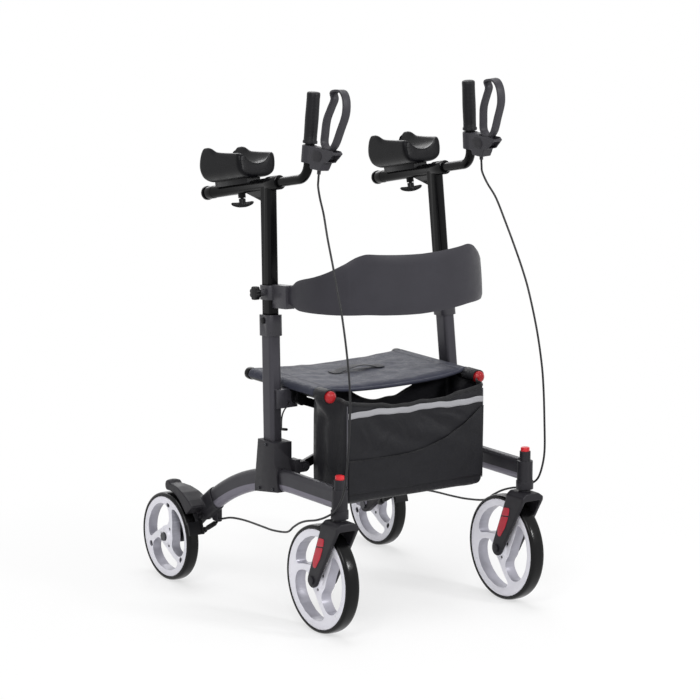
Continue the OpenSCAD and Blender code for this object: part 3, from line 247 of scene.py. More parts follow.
def bands(n, axis, pitch):
    """A wave along one axis, from 0 to 1."""
    return n.math("MULTIPLY_ADD", n.math("SINE", n.math("MULTIPLY", n.axes()[axis], tau / pitch)), 0.5, 0.5)


def weave(name, colour, rough, pitch, bump, sheen, patch=0.22, crease=0.25):
    """Woven cloth: crossing threads, cloudy wear, fine creases and a soft sheen."""
    n = new_material(name)
    c = srgb(colour)
    threads = n.math("ADD", n.math("ADD", bands(n, 0, pitch), bands(n, 1, pitch)), bands(n, 2, pitch))
    fac = n.math("ADD", n.math("MULTIPLY", threads, 0.28), n.math("MULTIPLY", n.noise(26, 5), 0.75))
    creases = n.bump(n.noise(34, 6, 0.6), crease, 0.004)
    n.set(n.b, Base_Color=n.ramp(fac, [(0.25, tone(c, 1 - patch)), (0.85, tone(c, 1 + patch))]),
          Roughness=n.ramp(n.noise(60, 4), [(0.3, rough - 0.08), (0.7, rough + 0.08)]),
          Normal=n.bump(threads, bump, 0.0003, creases),
          Sheen_Weight=sheen, Sheen_Roughness=0.45, Specular_IOR_Level=0.2)
    return n.m


# Numbers in the order that moulded and weave name them
M = {
    "gunmetal": moulded("gunmetal_paint", "#39383d", 0.34, 2400, 0.1, 1.3, 0.07, 0.25, 0.4),
    "black_gloss": moulded("black_gloss_paint", "#0a0a0b", 0.19, 1800, 0.05, 1.8, 0.2, 0.1),
    "black": moulded("black_nylon", "#252428", 0.42, 1300, 0.22, 1.4, 0.16, 0.2),
    "black_deep": moulded("black_hardware", "#111113", 0.36, 1300, 0.18, 1.6, 0.16, 0.18),
    "grey": moulded("grey_nylon", "#343338", 0.45, 1300, 0.22, 1.3, 0.14, 0.25),
    "plate": moulded("grey_plate", "#77757f", 0.42, 1500, 0.12, 1.2, 0.08, 0.5, 0.25),
    "red": moulded("red_gloss", "#a0161d", 0.34, 1500, 0.06, 1.25, 0.08, 0.3, 0.0, 0.1),
    "red_bright": moulded("red_button", "#cf2a31", 0.32, 1500, 0.06, 1.2, 0.06, 0.3, 0.0, 0.1),
    "red_inlay": moulded("red_inlay", "#b8293a", 0.4, 1500, 0.08, 1.15, 0.08, 0.3, 0.0, 0.1),
    # A darker copy of the rim silver for the walls of the openings: painted shade
    "painted_shade_rim_wall": moulded("painted_shade_rim_silver", "#a5a4ae", 0.34, 900, 0.04, 1.2, 0.2, 0.4, 0.2),
    "collar": moulded("collar_nylon", "#353439", 0.3, 900, 0.1, 1.5, 0.16, 0.35),
    "silver": moulded("rim_silver", "#eeedf5", 0.33, 1500, 0.05, 1.02, 0.03, 0.5, 0.12, 0.1),
    "tyre": moulded("tyre_rubber", "#09090a", 0.2, 700, 0.1, 1.5, 0.2, 0.2),
    "dark_steel": moulded("black_steel", "#3f3f43", 0.3, 2600, 0.1, 1.4, 0.1, 0.5, 0.7),
    "foam": moulded("skinned_foam", "#0f0f12", 0.3, 520, 0.1, 1.3, 0.12, 0.11),
    "jacket": moulded("cable_jacket", "#1c1c1e", 0.38, 1800, 0.08, 1.4, 0.1, 0.3),
    "strap": moulded("strap_band", "#313036", 0.42, 620, 0.2, 1.15, 0.1, 0.25),
    "seat": weave("seat_cloth", "#282a37", 0.5, 0.0016, 0.5, 0.06, 0.26, 0.4),
    "bag": weave("bag_cloth", "#141418", 0.46, 0.0014, 0.4, 0.03, 0.22, 0.45),
    "web": weave("webbing", "#222329", 0.55, 0.0024, 0.9, 0.15),
    "binding": weave("binding_tape", "#131315", 0.58, 0.0020, 0.8, 0.1),
    "reflect": weave("reflective_tape", "#97979b", 0.35, 0.0026, 0.5, 0.0, 0.12, 0.3),
    "piping": weave("grey_piping", "#55545a", 0.5, 0.0016, 0.6, 0.1, 0.12, 0.1),
    "thread": moulded("stitch_thread", "#4a4a50", 0.6, 3000, 0.3),
}


def grip_rubber(pitch=0.0031):
    """Grip rubber with fine rings moulded round it, square to the handle."""
    n = new_material("grip_rubber")
    c = srgb("#151518")
    along = (UPRIGHT.to_3x3() @ Vector((0, 0, 1))).normalized()
    d = n.set(n.add("ShaderNodeVectorMath", operation="DOT_PRODUCT"), Vector=n.where())
    d.inputs[1].default_value = (0, along.y, along.z)
    rings = n.math("SINE", n.math("MULTIPLY", d.outputs["Value"], tau / pitch))
    n.set(n.b, Base_Color=n.ramp(n.noise(30, 4), [(0.3, tone(c, 0.85)), (0.7, tone(c, 1.2))]),
          Roughness=n.ramp(n.noise(60, 4), [(0.3, 0.42), (0.7, 0.56)]),
          Normal=n.bump(rings, 0.35, 0.0003, n.bump(n.noise(1100, 2), 0.2, 0.0003)), Specular_IOR_Level=0.2)
    return n.m


def beam_paint_floor_reflection():
    """Gunmetal beam whose lower flank carries a painted reflection of the floor: a lighter strip, divided by a line
    under the beam's middle.
    """
    n = new_material("gunmetal_beam_painted_reflection")
    # The lighter colour is the painted reflection of the white floor
    dark, light = srgb("#39383d"), srgb("#76737e")
    axes = n.axes()
    run = n.math("MAXIMUM", n.math("SUBTRACT", axes[1], BEND_Y / 1000 + Y0), 0.0)
    rise = n.math("SUBTRACT", axes[2], (BEAM_Z - BEND_R) / 1000)
    bend = n.length(n.set(n.add("ShaderNodeCombineXYZ"), Y=run, Z=rise).outputs[0])
    over = n.math("SUBTRACT", bend, (BEND_R - REFLECTION_DROP) / 1000)
    # 1 under that line, where the beam's lower flank takes the painted floor reflection
    under = n.ramp(n.math("MULTIPLY_ADD", over, 500.0, 0.5), [(0.42, 1), (0.58, 0)])
    cloud = n.noise(11, 4)
    n.set(n.b, Base_Color=n.mix(under, n.ramp(cloud, [(0.3, tone(dark, 0.93)), (0.7, tone(dark, 1.07))]),
                                n.ramp(cloud, [(0.3, tone(light, 0.94)), (0.7, tone(light, 1.06))])),
          Roughness=n.ramp(n.noise(46, 5), [(0.3, 0.28), (0.72, 0.4)]),
          Normal=n.bump(n.noise(2400, 2), 0.1, 0.0004), Metallic=0.4, Specular_IOR_Level=0.25)
    return n.m


M["grip"] = grip_rubber()
# The beam's finish paints the floor's reflection on its lower flank
M["beam"] = beam_paint_floor_reflection()

# Stage: a pale floor that turns white away from the object, and soft lamps with their place, size and power
LAMPS = {"key": ((-2.4, -2.4, 3.2), 1.6, 64), "front": ((1.5, -3.6, 2.4), 0.7, 62),
         "top": ((0.2, 0.2, 4.2), 2.2, 66), "rim": ((1.2, 3.2, 2.6), 2.0, 34)}
LAMP_AIM = Vector((0, 0, 0.6))
FLOOR, WORLD_LIGHT = 9, 0.34


def stage():
    me = bpy.data.meshes.new("floor")
    me.from_pydata([(-FLOOR, -FLOOR, 0), (FLOOR, -FLOOR, 0), (FLOOR, FLOOR, 0), (-FLOOR, FLOOR, 0)], [], [(0, 1, 2, 3)])
    o = bpy.data.objects.new("floor", me)
    scene.collection.objects.link(o)
    n = new_material("floor_pale")
    n.set(n.b, Base_Color=(0.93, 0.93, 0.93, 1), Roughness=0.9, Specular_IOR_Level=0.0)
    glow = n.set(n.add("ShaderNodeEmission"), Color=(1, 1, 1, 1), Strength=1.0)
    fade = n.ramp(n.math("MULTIPLY", n.length(n.where()), 0.5), [(0.18, 0.62), (0.62, 1)])
    mix = n.add("ShaderNodeMixShader")
    for s, v in zip(mix.inputs, (n.math("MULTIPLY", n.seen(), fade), n.b.outputs[0], glow.outputs[0])):
        n.put(s, v)
    n.set(n.t.nodes["Material Output"], Surface=mix.outputs[0])
    me.materials.append(n.m)
    scene.world = bpy.data.worlds.new("studio")
    n = Nodes(scene.world, "Background")
    level = n.set(n.add("ShaderNodeMapRange"), Value=n.seen(), To_Min=WORLD_LIGHT, To_Max=1.0)
    n.set(n.b, Color=(1, 1, 1, 1), Strength=level.outputs["Result"])
    for name, (place, size, power) in LAMPS.items():
        d = bpy.data.lights.new(name, "AREA")
        d.size, d.energy = size, power
        lamp = bpy.data.objects.new(name, d)
        scene.collection.objects.link(lamp)
        lamp.location = place
        lamp.rotation_mode = "QUATERNION"
        lamp.rotation_quaternion = (LAMP_AIM - Vector(place)).to_track_quat("-Z", "Y")


stage()


# Mesh helpers
def shade(me, sharp):
    for p in me.polygons:
        p.use_smooth = True
    if sharp:
        me.set_sharp_from_angle(angle=rad(sharp))


def link_mesh(name, me, mat, sharp):
    shade(me, sharp)
    o = bpy.data.objects.new(name, me)
    scene.collection.objects.link(o)
    me.materials.append(M[mat])
    return o


def add_mesh(name, verts, faces, mat, sharp=38):
    me = bpy.data.meshes.new(name)
    me.from_pydata([tuple(v) for v in verts], [], faces)
    bm = bmesh.new()
    bm.from_mesh(me)
    bmesh.ops.recalc_face_normals(bm, faces=bm.faces)
    bm.to_mesh(me)
    bm.free()
    return link_mesh(name, me, mat, sharp)


def attach(o, body, node=None):
    """Lets a piece ride on a body and stand for a CAD node."""
    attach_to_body(o, body)
    if node:
        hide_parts(node)
    return o


def mirrored(verts, side):
    return verts if side > 0 else [Vector((-v[0], v[1], v[2])) for v in verts]


def merge(parts):
    """The verts and faces of several meshes as one."""
    verts, faces = [], []
    for v, f in parts:
        faces += [tuple(i + len(verts) for i in q) for q in f]
        verts += v
    return verts, faces


def ring_faces(count, n, close=True, caps=True):
    """Faces of a tube of `count` rings with n points each."""
    f = []
    for i in range(count - 1):
        a, b = i * n, (i + 1) * n
        for k in range(n if close else n - 1):
            m = (k + 1) % n
            f.append((a + k, a + m, b + m, b + k))
    if caps:
        f.append(tuple(range(n - 1, -1, -1)))
        f.append(tuple((count - 1) * n + k for k in range(n)))
    return f


def apply_all(o):
    dg = bpy.context.evaluated_depsgraph_get()
    me = bpy.data.meshes.new_from_object(o.evaluated_get(dg))
    o.modifiers.clear()
    o.data = me
    return o


def modify(o, kind, **values):
    m = o.modifiers.new(kind.lower(), kind)
    for k, v in values.items():
        setattr(m, k, v)
    return m


CURVE_STEPS = 8


def smooth_curve(pts):
    """Points of a smooth line through pts."""
    out = []
    for i in range(len(pts) - 1):
        a, b, c, d = pts[max(i - 1, 0)], pts[i], pts[i + 1], pts[min(i + 2, len(pts) - 1)]
        for j in range(CURVE_STEPS):
            u = j / CURVE_STEPS
            out.append((2 * b + (c - a) * u + (2 * a - 5 * b + 4 * c - d) * u * u
                        + (3 * b - a - 3 * c + d) * u ** 3) / 2)
    return out + [pts[-1]]


def heading(pts, i):
    return (pts[min(i + 1, len(pts) - 1)] - pts[max(i - 1, 0)]).normalized()


def sweep(pts, section, first=(1, 0, 0)):
    """Rings of a section (list of (u, v)) carried along pts without twist."""
    rings, u = [], Vector(first)
    for i, p in enumerate(pts):
        t = heading(pts, i)
        u = (u - t * u.dot(t)).normalized()
        v = t.cross(u)
        rings += [p + u * a + v * b for a, b in section]
    return rings


def oval(ru, rv, n):
    return [(ru * cos(tau * k / n), rv * sin(tau * k / n)) for k in range(n)]


def tube(name, pts, r, mat, n):
    return add_mesh(name, sweep(pts, oval(r, r, n)), ring_faces(len(pts), n), mat)


def spin(profile, steps, closed=False):
    """Verts and faces of a profile of (radius, height) turned about the z axis."""
    verts, faces, n = [], [], len(profile)
    for k in range(steps):
        a, b = tau * k / steps, (k + 1) % steps
        verts += [Vector((r * cos(a), r * sin(a), h)) for r, h in profile]
        for i in range(n if closed else n - 1):
            j = (i + 1) % n
            faces.append((k * n + i, b * n + i, b * n + j, k * n + j))
    return verts, faces


def lathe(name, profile, m, side, mat, steps, sharp=40):
    """A piece turned about the z axis of m, from a profile in millimetres."""
    verts, faces = spin(profile, steps)
    return add_mesh(name, mirrored([at(m, *v) for v in verts], side), faces, mat, sharp)


def scaled(outline, share, centre=None):
    """An outline grown or shrunk about its centre."""
    ca, cb = centre or [sum(p[i] for p in outline) / len(outline) for i in (0, 1)]
    return [(ca + (a - ca) * share, cb + (b - cb) * share) for a, b in outline]


def raised(name, outline, steps, place, side, mat, centre=None):
    """A domed plate: its outline repeats at each (share, height) of steps, and place puts it on the part."""
    rings = [place(h, a, b) for share, h in steps for a, b in scaled(outline, share, centre)]
    return add_mesh(name, mirrored(rings, side), ring_faces(len(steps), len(outline)), mat, 40)


EDGE_DEG = 32  # sharper edges of a CAD node are softened


def skin(node, mat, width):
    """A copy of a CAD node with softened edges, which stands for it."""
    src = nodes[node]
    me = src.data.copy()
    me.materials.clear()
    bm = bmesh.new()
    bm.from_mesh(me)
    bmesh.ops.remove_doubles(bm, verts=bm.verts, dist=1e-6)
    bmesh.ops.dissolve_limit(bm, angle_limit=rad(0.6), verts=bm.verts, edges=bm.edges)
    bm.to_mesh(me)
    bm.free()
    for a in ("custom_normal", "sharp_face", "sharp_edge"):
        if a in me.attributes:
            me.attributes.remove(me.attributes[a])
    o = link_mesh(node + "_skin", me, mat, 0)
    modify(o, "BEVEL", width=width / 1000, segments=2, limit_method="ANGLE", angle_limit=rad(EDGE_DEG),
           miter_outer="MITER_ARC")
    apply_all(o)
    shade(o.data, 30)
    attach(o, src["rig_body"], node=node)


def moulding(node, mat, voxel=1.7, rounds=14, keep=0.4, shape=None):
    """A copy of a CAD node as a soft moulding: its largest solid is rounded all over, its pins get a small bevel."""
    src = nodes[node]
    whole = bmesh.new()
    whole.from_mesh(src.data)
    bmesh.ops.remove_doubles(whole, verts=whole.verts, dist=1e-6)
    groups, seen = [], set()
    for v in whole.verts:
        if v.index in seen:
            continue
        group, todo = set(), [v]
        while todo:
            w = todo.pop()
            if w.index not in group:
                group.add(w.index)
                todo += [e.other_vert(w) for e in w.link_edges]
        seen |= group
        groups.append(group)
    span = lambda g: max((a.co - whole.verts[min(g)].co).length for a in (whole.verts[i] for i in g))
    whole.verts.ensure_lookup_table()
    main = max(groups, key=span)
    done = bmesh.new()
    for part in (main, seen - main):
        if not part:
            continue
        b = whole.copy()
        bmesh.ops.delete(b, geom=[v for v in b.verts if v.index not in part], context="VERTS")
        me = bpy.data.meshes.new("part")
        b.to_mesh(me)
        b.free()
        o = link_mesh("part", me, mat, 0)
        if part is main:
            modify(o, "REMESH", mode="VOXEL", voxel_size=voxel / 1000)
            apply_all(o)
            if shape:
                for v in o.data.vertices:
                    v.co = shape(v.co)
            modify(o, "SMOOTH", factor=0.5, iterations=rounds)
            modify(o, "DECIMATE", ratio=keep)
        else:
            modify(o, "BEVEL", width=0.0008, segments=2, limit_method="ANGLE", angle_limit=rad(EDGE_DEG))
        apply_all(o)
        done.from_mesh(o.data)
        bpy.data.objects.remove(o)
    whole.free()
    me = bpy.data.meshes.new(node + "_moulded")
    done.to_mesh(me)
    done.free()
    me.validate()
    attach(link_mesh(node + "_moulded", me, mat, 48), src["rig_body"], node)


def paint(node, mat):
    o = nodes[node]
    o.data.materials.clear()
    o.data.materials.append(M[mat])



# Carried-over CAD parts with their finishes and softened edges
HOOD = P(297, 598, 108)  # centre of the rear hood, which starts HOOD_R from it
HOOD_R, HOOD_HALF = 0.113, 0.03
LOBE_DEG, LOBE_SPAN, LOBE_SWELL, LOBE_PINCH = 87, 46, 0.18, 0.34


def hood_form(v):
    """The rear hood narrows and swells towards its end, which is a rounded lobe over the tyre."""
    y, z = v.y - HOOD.y, v.z - HOOD.z
    r, a = hypot(y, z), degrees(atan2(z, y))
    near = ease(clamp(1 - (a - LOBE_DEG) / LOBE_SPAN)) if a > LOBE_DEG - 25 else 0.0
    off = abs(v.x) - HOOD.x
    if r < HOOD_R - 0.0005 or near <= 0 or abs(off) > 0.05:
        return v
    grow = 1 + near * max(0.0, (r - HOOD_R) / r) * LOBE_SWELL * (1 - min(1, (off / HOOD_HALF) ** 2))
    x = HOOD.x + off * (1 - LOBE_PINCH * near)
    return Vector((copysign(x, v.x), HOOD.y + y * grow, HOOD.z + z * grow))


PAINTED = {"beam": "beam", "lower_post": "gunmetal", "seat_rail": "black_gloss", "frame_bolts": "dark_steel",
           "handle_tube": "black_gloss"}
SKINNED = (("caster_housing", "black", 1.2), ("caster_button", "red_bright", 1.6), ("brake_arm", "black_deep", 0.8),
           ("post_bracket", "black", 1.6), ("post_fittings", "collar", 1.2), ("height_button", "black_deep", 1.2),
           ("upper_post", "black_gloss", 0.8), ("brake_lever", "grey", 1.5), ("back_clamp", "collar", 1.2),
           ("back_knob", "black_deep", 0.9), ("rail_cap", "red", 2.0))
for s in SIDES:
    for part, mat in PAINTED.items():
        paint(f"{part}_{s}", mat)
    for part, mat, width in SKINNED:
        skin(f"{part}_{s}", mat, width)
    moulding(f"caster_fork_{s}", "black", 1.5)
    moulding(f"brake_housing_{s}", "grey", 1.3, 5, 0.5)
    moulding(f"rear_bracket_{s}", "black", shape=hood_form)
for part in ("brace_bar_a", "brace_bar_b"):
    skin(part, "black_gloss", 1.0)
paint("brace_bolt", "dark_steel")


# Wheels: dished rims with three swirling openings, and tyres; by radius, width, x, y and the angle of the first opening
WHEELS = {"front": (127, 36, 264, 0, 44.5), "rear": (108, 32, 307, 598, -100.5)}
THIRDS = (0, 120, 240)
RIM_STEP = 9.05  # from the tyre's outside to the rim's
FRONT_RIM_R = WHEELS["front"][0] - RIM_STEP


def signed_pow(v, p):
    return copysign(abs(v) ** p, v)


def opening(r, steps=72):
    """A rounded window between two spokes, as (radius, angle) pairs that lean with the swirl."""
    pts = []
    for i in range(steps):
        t = tau * i / steps
        a, b = signed_pow(cos(t), 0.55), signed_pow(sin(t), 0.55)
        q = r * (0.56 + 0.29 * b)
        pts.append((q, a * (60 - degrees(asin(8 / q))) - 14.5 * b))
    return pts


def prism(points, h0, h1):
    n = len(points)
    verts = [Vector((x, y, h)) for h in (h0, h1) for x, y in points]
    return verts, ring_faces(2, n)


def polar(q, a):
    return q * cos(rad(a)), q * sin(rad(a))


def slot_outline(q, a, length, width, n=6):
    """A rounded slot at radius q and angle a, along the rim."""
    pts = []
    for end in (1, -1):
        for k in range(n + 1):
            b = pi * k / n - pi / 2
            pts.append((end * (length / 2 - width / 2 + width / 2 * cos(b)), end * width / 2 * sin(b)))
    cx, cy = polar(q, a)
    c, d = cos(rad(a + 90)), sin(rad(a + 90))
    return [(cx + x * c - y * d, cy + x * d + y * c) for x, y in pts]


def to_wheel(verts, centre, side):
    m = Matrix.Translation(centre) @ Matrix.Rotation(rad(90), 4, "Y") @ Matrix.Scale(0.001, 4)
    return mirrored([m @ v for v in verts], side)


def wheel(kind, name, side):
    r, w, x, y, phase = WHEELS[kind]
    centre = P(x, y, r)
    rim_r, lip, hub = r - RIM_STEP, w / 2 - 1.5, w / 2 + 2.5
    body = f"{kind}_wheel_{name}"

    def piece(tag, mesh, mat, sharp=38):
        return add_mesh(tag, to_wheel(mesh[0], centre, side), mesh[1], mat, sharp)

    k = rim_r / FRONT_RIM_R
    half = [(6.1, hub), (14.5, hub), (16.5, hub - 1), (18, hub - 3), (20.5, lip - 2.2), (24, lip - 2.8),
            (45 * k, lip - 3), (72 * k, lip - 3), (92 * k, lip - 2.8), (99 * k, lip - 2.2), (103 * k, lip - 0.7),
            (106 * k, lip), (rim_r - 1.5, lip), (rim_r, lip - 1.5)]
    profile = [(q, -h) for q, h in half] + [(q, h) for q, h in reversed(half)]
    o = piece(f"{kind}_rim_{name}_dished", spin(profile, 120, True), "silver")
    holes = [[polar(q, a + phase + t) for q, a in opening(rim_r)] for t in THIRDS]
    slots = [slot_outline(0.8 * rim_r, phase + 46 + t, 15, 10.5) for t in THIRDS if kind == "rear"]
    pins = [slot_outline(24.5, phase + 76 + t, 8, 7.8) for t in THIRDS]
    # The bottoms of the blind slots and pin holes are kept here for dark discs that paint their shade
    shade_floors = []
    for group, deep in ((holes, None), (slots, 7), (pins, 6)):
        if not group:
            continue
        spans = [(lip - deep, 60), (-60, deep - lip)] if deep else [(-60, 60)]
        if deep:
            shade_floors += [(pts, h) for pts in group for h in (lip - deep, deep - lip)]
        cut = piece("cut", merge([prism(pts, *span) for pts in group for span in spans]), "silver")
        modify(o, "BOOLEAN", operation="DIFFERENCE", object=cut, solver="EXACT")
        apply_all(o)
        bpy.data.objects.remove(cut)
    modify(o, "BEVEL", width=0.0026, segments=3, limit_method="ANGLE", angle_limit=rad(50))
    apply_all(o)
    # Faces on the walls of the openings take the darker silver, which paints their shade
    o.data.materials.append(M["painted_shade_rim_wall"])
    for p in o.data.polygons:
        q = hypot(p.center.y - centre.y, p.center.z - centre.z) * 1000 / rim_r
        p.material_index = int(abs(p.normal.x) < 0.55 and 0.24 < q < 0.9)
    shade(o.data, 32)
    attach(o, body, f"{kind}_rim_{name}")
    # Dark discs just over those bottoms: painted shade in the recesses
    shade_discs = [prism(scaled(pts, 1.04), *((h - 0.6, h + 1.4) if h > 0 else (h - 1.4, h + 0.6))) for pts, h in shade_floors]
    attach(piece(f"{kind}_rim_{name}_recesses", merge(shade_discs), "black_deep"), body)
    half = [(r - 9 + 9 * sin(a) ** 0.6, w / 2 * cos(a) ** 0.6) for a in [rad(7.5 * j) for j in range(12)]]
    half.append((r, 0))
    profile = half + [(q, -h) for q, h in reversed(half[:-1])]
    tyre = piece(f"{kind}_tyre_{name}_round", spin(profile, 144, True), "tyre", 50)
    attach(tyre, body, f"{kind}_tyre_{name}")
    seal = ((6.4, hub - 1), (6.4, hub + 0.5), (8, hub + 0.9), (10.2, hub + 0.9), (11, hub))
    seals = merge([spin([(q, way * h) for q, h in seal], 40) for way in (1, -1)])
    attach(piece(f"{kind}_wheel_seals_{name}", seals, "black_deep"), body)


for s, k in SIDES.items():
    for kind in WHEELS:
        wheel(kind, s, k)


# Red inlays on both faces of the fork legs, with a dark line between their two pieces
def rounded_outline(pts, per=5, reach=5):
    """A closed outline whose corners are rounded."""
    v = [Vector((a, b, 0)) for a, b in pts]
    out = []
    for i, c in enumerate(v):
        a, b = (c + d.normalized() * min(reach, d.length * 0.45) for d in (v[i - 1] - c, v[(i + 1) % len(v)] - c))
        for j in range(per):
            u = j / (per - 1)
            e = a * (1 - u) ** 2 + c * 2 * u * (1 - u) + b * u * u
            out.append((e.x, e.y))
    return out


FACES = (("outer", 1), ("inner", -1))
INLAYS = {"top": [(-29, 233), (-51, 235), (-48, 215.5), (-20, 212)],
          "long": [(-19, 209), (-46.5, 212.5), (-35, 185), (-16, 158.5), (-6, 160), (-6, 180)]}
INLAY_STEPS = ((1.0, -0.4), (1.0, 0.9), (0.93, 1.5), (0.6, 1.6))
FORK_X, LEG_FACE = WHEELS["front"][2], 31
for s, k in SIDES.items():
    for tag, outline in INLAYS.items():
        for leg, out in FACES:
            o = raised(f"fork_inlay_{tag}_{leg}_{s}", rounded_outline(outline), INLAY_STEPS,
                       lambda h, y, z: P(FORK_X + out * (LEG_FACE + h), y, z), k, "red_inlay")
            attach(o, f"caster_{s}")


# Hand grips
GRIP = [(11.2, 80), (16.2, 80), (17, 80.8), (17, 85), (16.2, 86.2), (15.2, 87.5), (15.2, 100), (15.6, 120), (15.8, 140),
        (15.4, 162), (15.2, 182), (15.5, 190), (15.3, 193.5), (14.2, 196), (12, 197), (0.01, 197.2)]
for s, k in SIDES.items():
    o = lathe(f"hand_grip_{s}_rubber", GRIP, UPRIGHT, k, "grip", 56)
    attach(o, f"handle_{s}", f"hand_grip_{s}")


# Wing knobs: a turned hub over a tapered bar, with the clamp screw between boss and hub
KNOB_HUB = [(0.01, -1.5), (4.2, -1.5), (4.2, 1), (7.4, 1.2), (8, 2), (8, 9), (9, 10.5), (9.4, 13), (9.4, 20),
            (8.4, 21.6), (0.01, 22)]
KNOB_DROP = 14.3 + 9 + 0.5  # arm tube, boss and gap


def wing_knob(s, k):
    m = ARM @ shift(0, 112, -KNOB_DROP) @ turn(180, 0, 50 * k)
    rings, steps, n = [], 24, 16
    for u in spread(-1, 1, steps):
        t = 4.4 - 1.2 * u * u
        h0, h1 = 9.6 - 1.2 * u * u, 22 - 7.5 * abs(u) ** 2.2
        end = sqrt(max(0.02, 1 - max(0.0, (abs(u) - 0.84) / 0.16) ** 2))
        mid, half = (h0 + h1) / 2, (h1 - h0) / 2 * end
        for c, q in oval(1, 1, n):
            rings.append(Vector((t * end * signed_pow(c, 0.6), u * 27, mid + half * signed_pow(q, 0.6))))
    v, f = merge([spin(KNOB_HUB, 40), (rings, ring_faces(steps + 1, n))])
    o = add_mesh(f"wing_knob_{s}_bar", mirrored([at(m, *p) for p in v], k), f, "black_deep", 42)
    attach(o, f"wing_{s}", f"wing_knob_{s}")


for s, k in SIDES.items():
    wing_knob(s, k)


# Forearm pads: skinned foam troughs with a rear hump, on a plate that sits on the arm tube
def interp(table, t):
    """A smooth line through the table's points that never overshoots them."""
    n = len(table)
    steep = [(table[i + 1][1] - table[i][1]) / (table[i + 1][0] - table[i][0]) for i in range(n - 1)]
    lean = [steep[0]] + [2 * a * b / (a + b) if a * b > 0 else 0.0 for a, b in zip(steep, steep[1:])] + [steep[-1]]
    for i in range(n - 1):
        (a, p), (b, q) = table[i], table[i + 1]
        if t <= b:
            h = b - a
            u = max(0.0, (t - a) / h)
            return (p * (1 + 2 * u) * (1 - u) ** 2 + h * lean[i] * u * (1 - u) ** 2
                    + q * u * u * (3 - 2 * u) + h * lean[i + 1] * u * u * (u - 1))
    return table[-1][1]


PAD_L = 171
PAD_TOP = [(0, 57), (0.12, 59), (0.42, 64.5), (0.56, 68.5), (0.7, 79), (0.8, 81.5), (0.93, 81.5), (1, 78)]
PAD_ENDS = [(0, 9), (0.6, 6.2), (2, 3.6), (4.2, 1.7), (7, 0.6), (10, 0)]  # how far the rounded ends draw in
ARM_CAP = [(14.2, 224), (15, 224.4), (15.2, 225.5), (15.2, 246), (14.6, 250), (12.5, 252.4), (8, 253.4), (0.01, 253.6)]


def pad_section(t, inset):
    """Outer and inner half outlines of the trough, from its middle to the lip, with the same number of points."""
    h = interp(PAD_TOP, t) - 0.7 * inset
    f = 28 + 0.25 * inset + 2 * (2 * t - 1) ** 2
    low, w, r = 0.8 * inset, 53 - inset, 43
    arc = min(90.0, degrees(acos(max(-1, min(1, (f + r - h + 7) / r)))))
    xi = min(r * sin(rad(arc)), w - 6)
    lip = ((w + xi) / 2, h)
    outer = [(0, low), (14, low), (26, low + 0.3), (37, low + 3.5), (46, low + 10.5), (w - 1.5, low + 20), (w, 32),
             (w, 40), (w, (27 + h) / 2), (w, h - 13), (w - 0.8, h - 6), (w - 3.2, h - 1.6), lip]
    inner = []
    for j in range(11):
        a = rad(arc * j / 10)
        inner.append((min(r * sin(a), xi), f + (h - 7 - f) * (1 - cos(a)) / (1 - cos(rad(arc)))))
    return outer, inner + [(xi + 2, h - 1.8)]


def arm_pad(s, k):
    long = PAD_L - 20
    ys = PAD_ENDS + [(10 + long * i / 30, 0) for i in range(1, 30)] + [(PAD_L - y, d) for y, d in reversed(PAD_ENDS)]
    rings = []
    for y, d in ys:
        outer, inner = pad_section(y / PAD_L, d)
        ring = outer + inner[:0:-1] + [(-x, z) for x, z in inner] + [(-x, z) for x, z in outer[:0:-1]]
        half = len(ring) // 2
        ring[half] = inner[0]
        back = max(0.0, (y - 100) / (PAD_L - 100)) ** 2
        for x, z in ring:
            cut = 21 * max(0.0, (z - 44) / 37) ** 1.4 + 10 * max(0.0, (38 - z) / 38) ** 1.5
            rings.append(at(ARM, x, 36 + y - back * cut, 20 + z))
    rows = len(ys)
    n = len(rings) // rows
    faces = ring_faces(rows, n, caps=False)
    for base in (0, (rows - 1) * n):
        for side in (1, -1):  # the end faces join outer and inner points from the middle (0 and half) to the lip
            outer = [base + side * a % n for a in range(13)]
            inner = [base + half - side * a for a in range(12)]
            faces += [(outer[a], outer[a + 1], inner[a + 1], inner[a]) for a in range(11)]
            faces.append((outer[11], outer[12], inner[11]))
    o = add_mesh(f"arm_pad_{s}_foam", mirrored(rings, k), faces, "foam", 0)
    modify(o, "SUBSURF", levels=1, render_levels=1)
    attach(o, f"post_{s}", f"arm_pad_{s}")
    pts = []
    for y, w in ((58, 18.6), (60, 20), (190, 20), (192, 18.6)):
        pts += [at(ARM, x, y, z) for x, z in ((-w, 8), (-w, 20.6), (w, 20.6), (w, 8), (13, 7), (-13, 7))]
    attach(add_mesh(f"pad_plate_{s}", mirrored(pts, k), ring_faces(4, 6), "black_deep", 40), f"post_{s}")
    cap = lathe(f"arm_end_cap_{s}", ARM_CAP, ARM @ turn(-90, 0, 0), k, "black_gloss", 48)
    attach(cap, f"post_{s}")


for s, k in SIDES.items():
    arm_pad(s, k)


# Small hardware: cable adjusters under the beams, plates with bolts on the axle arms, screws in the crowns and post
# brackets, and bare brake badges
def turned(name, body, side, place, out, profile, mat, steps=32):
    """A turned piece at place whose axis points along out."""
    m = Matrix.Translation(P(*place)) @ Vector(out).to_track_quat("Z", "Y").to_matrix().to_4x4()
    attach(lathe(name, profile, m, side, mat, steps, 35), body)


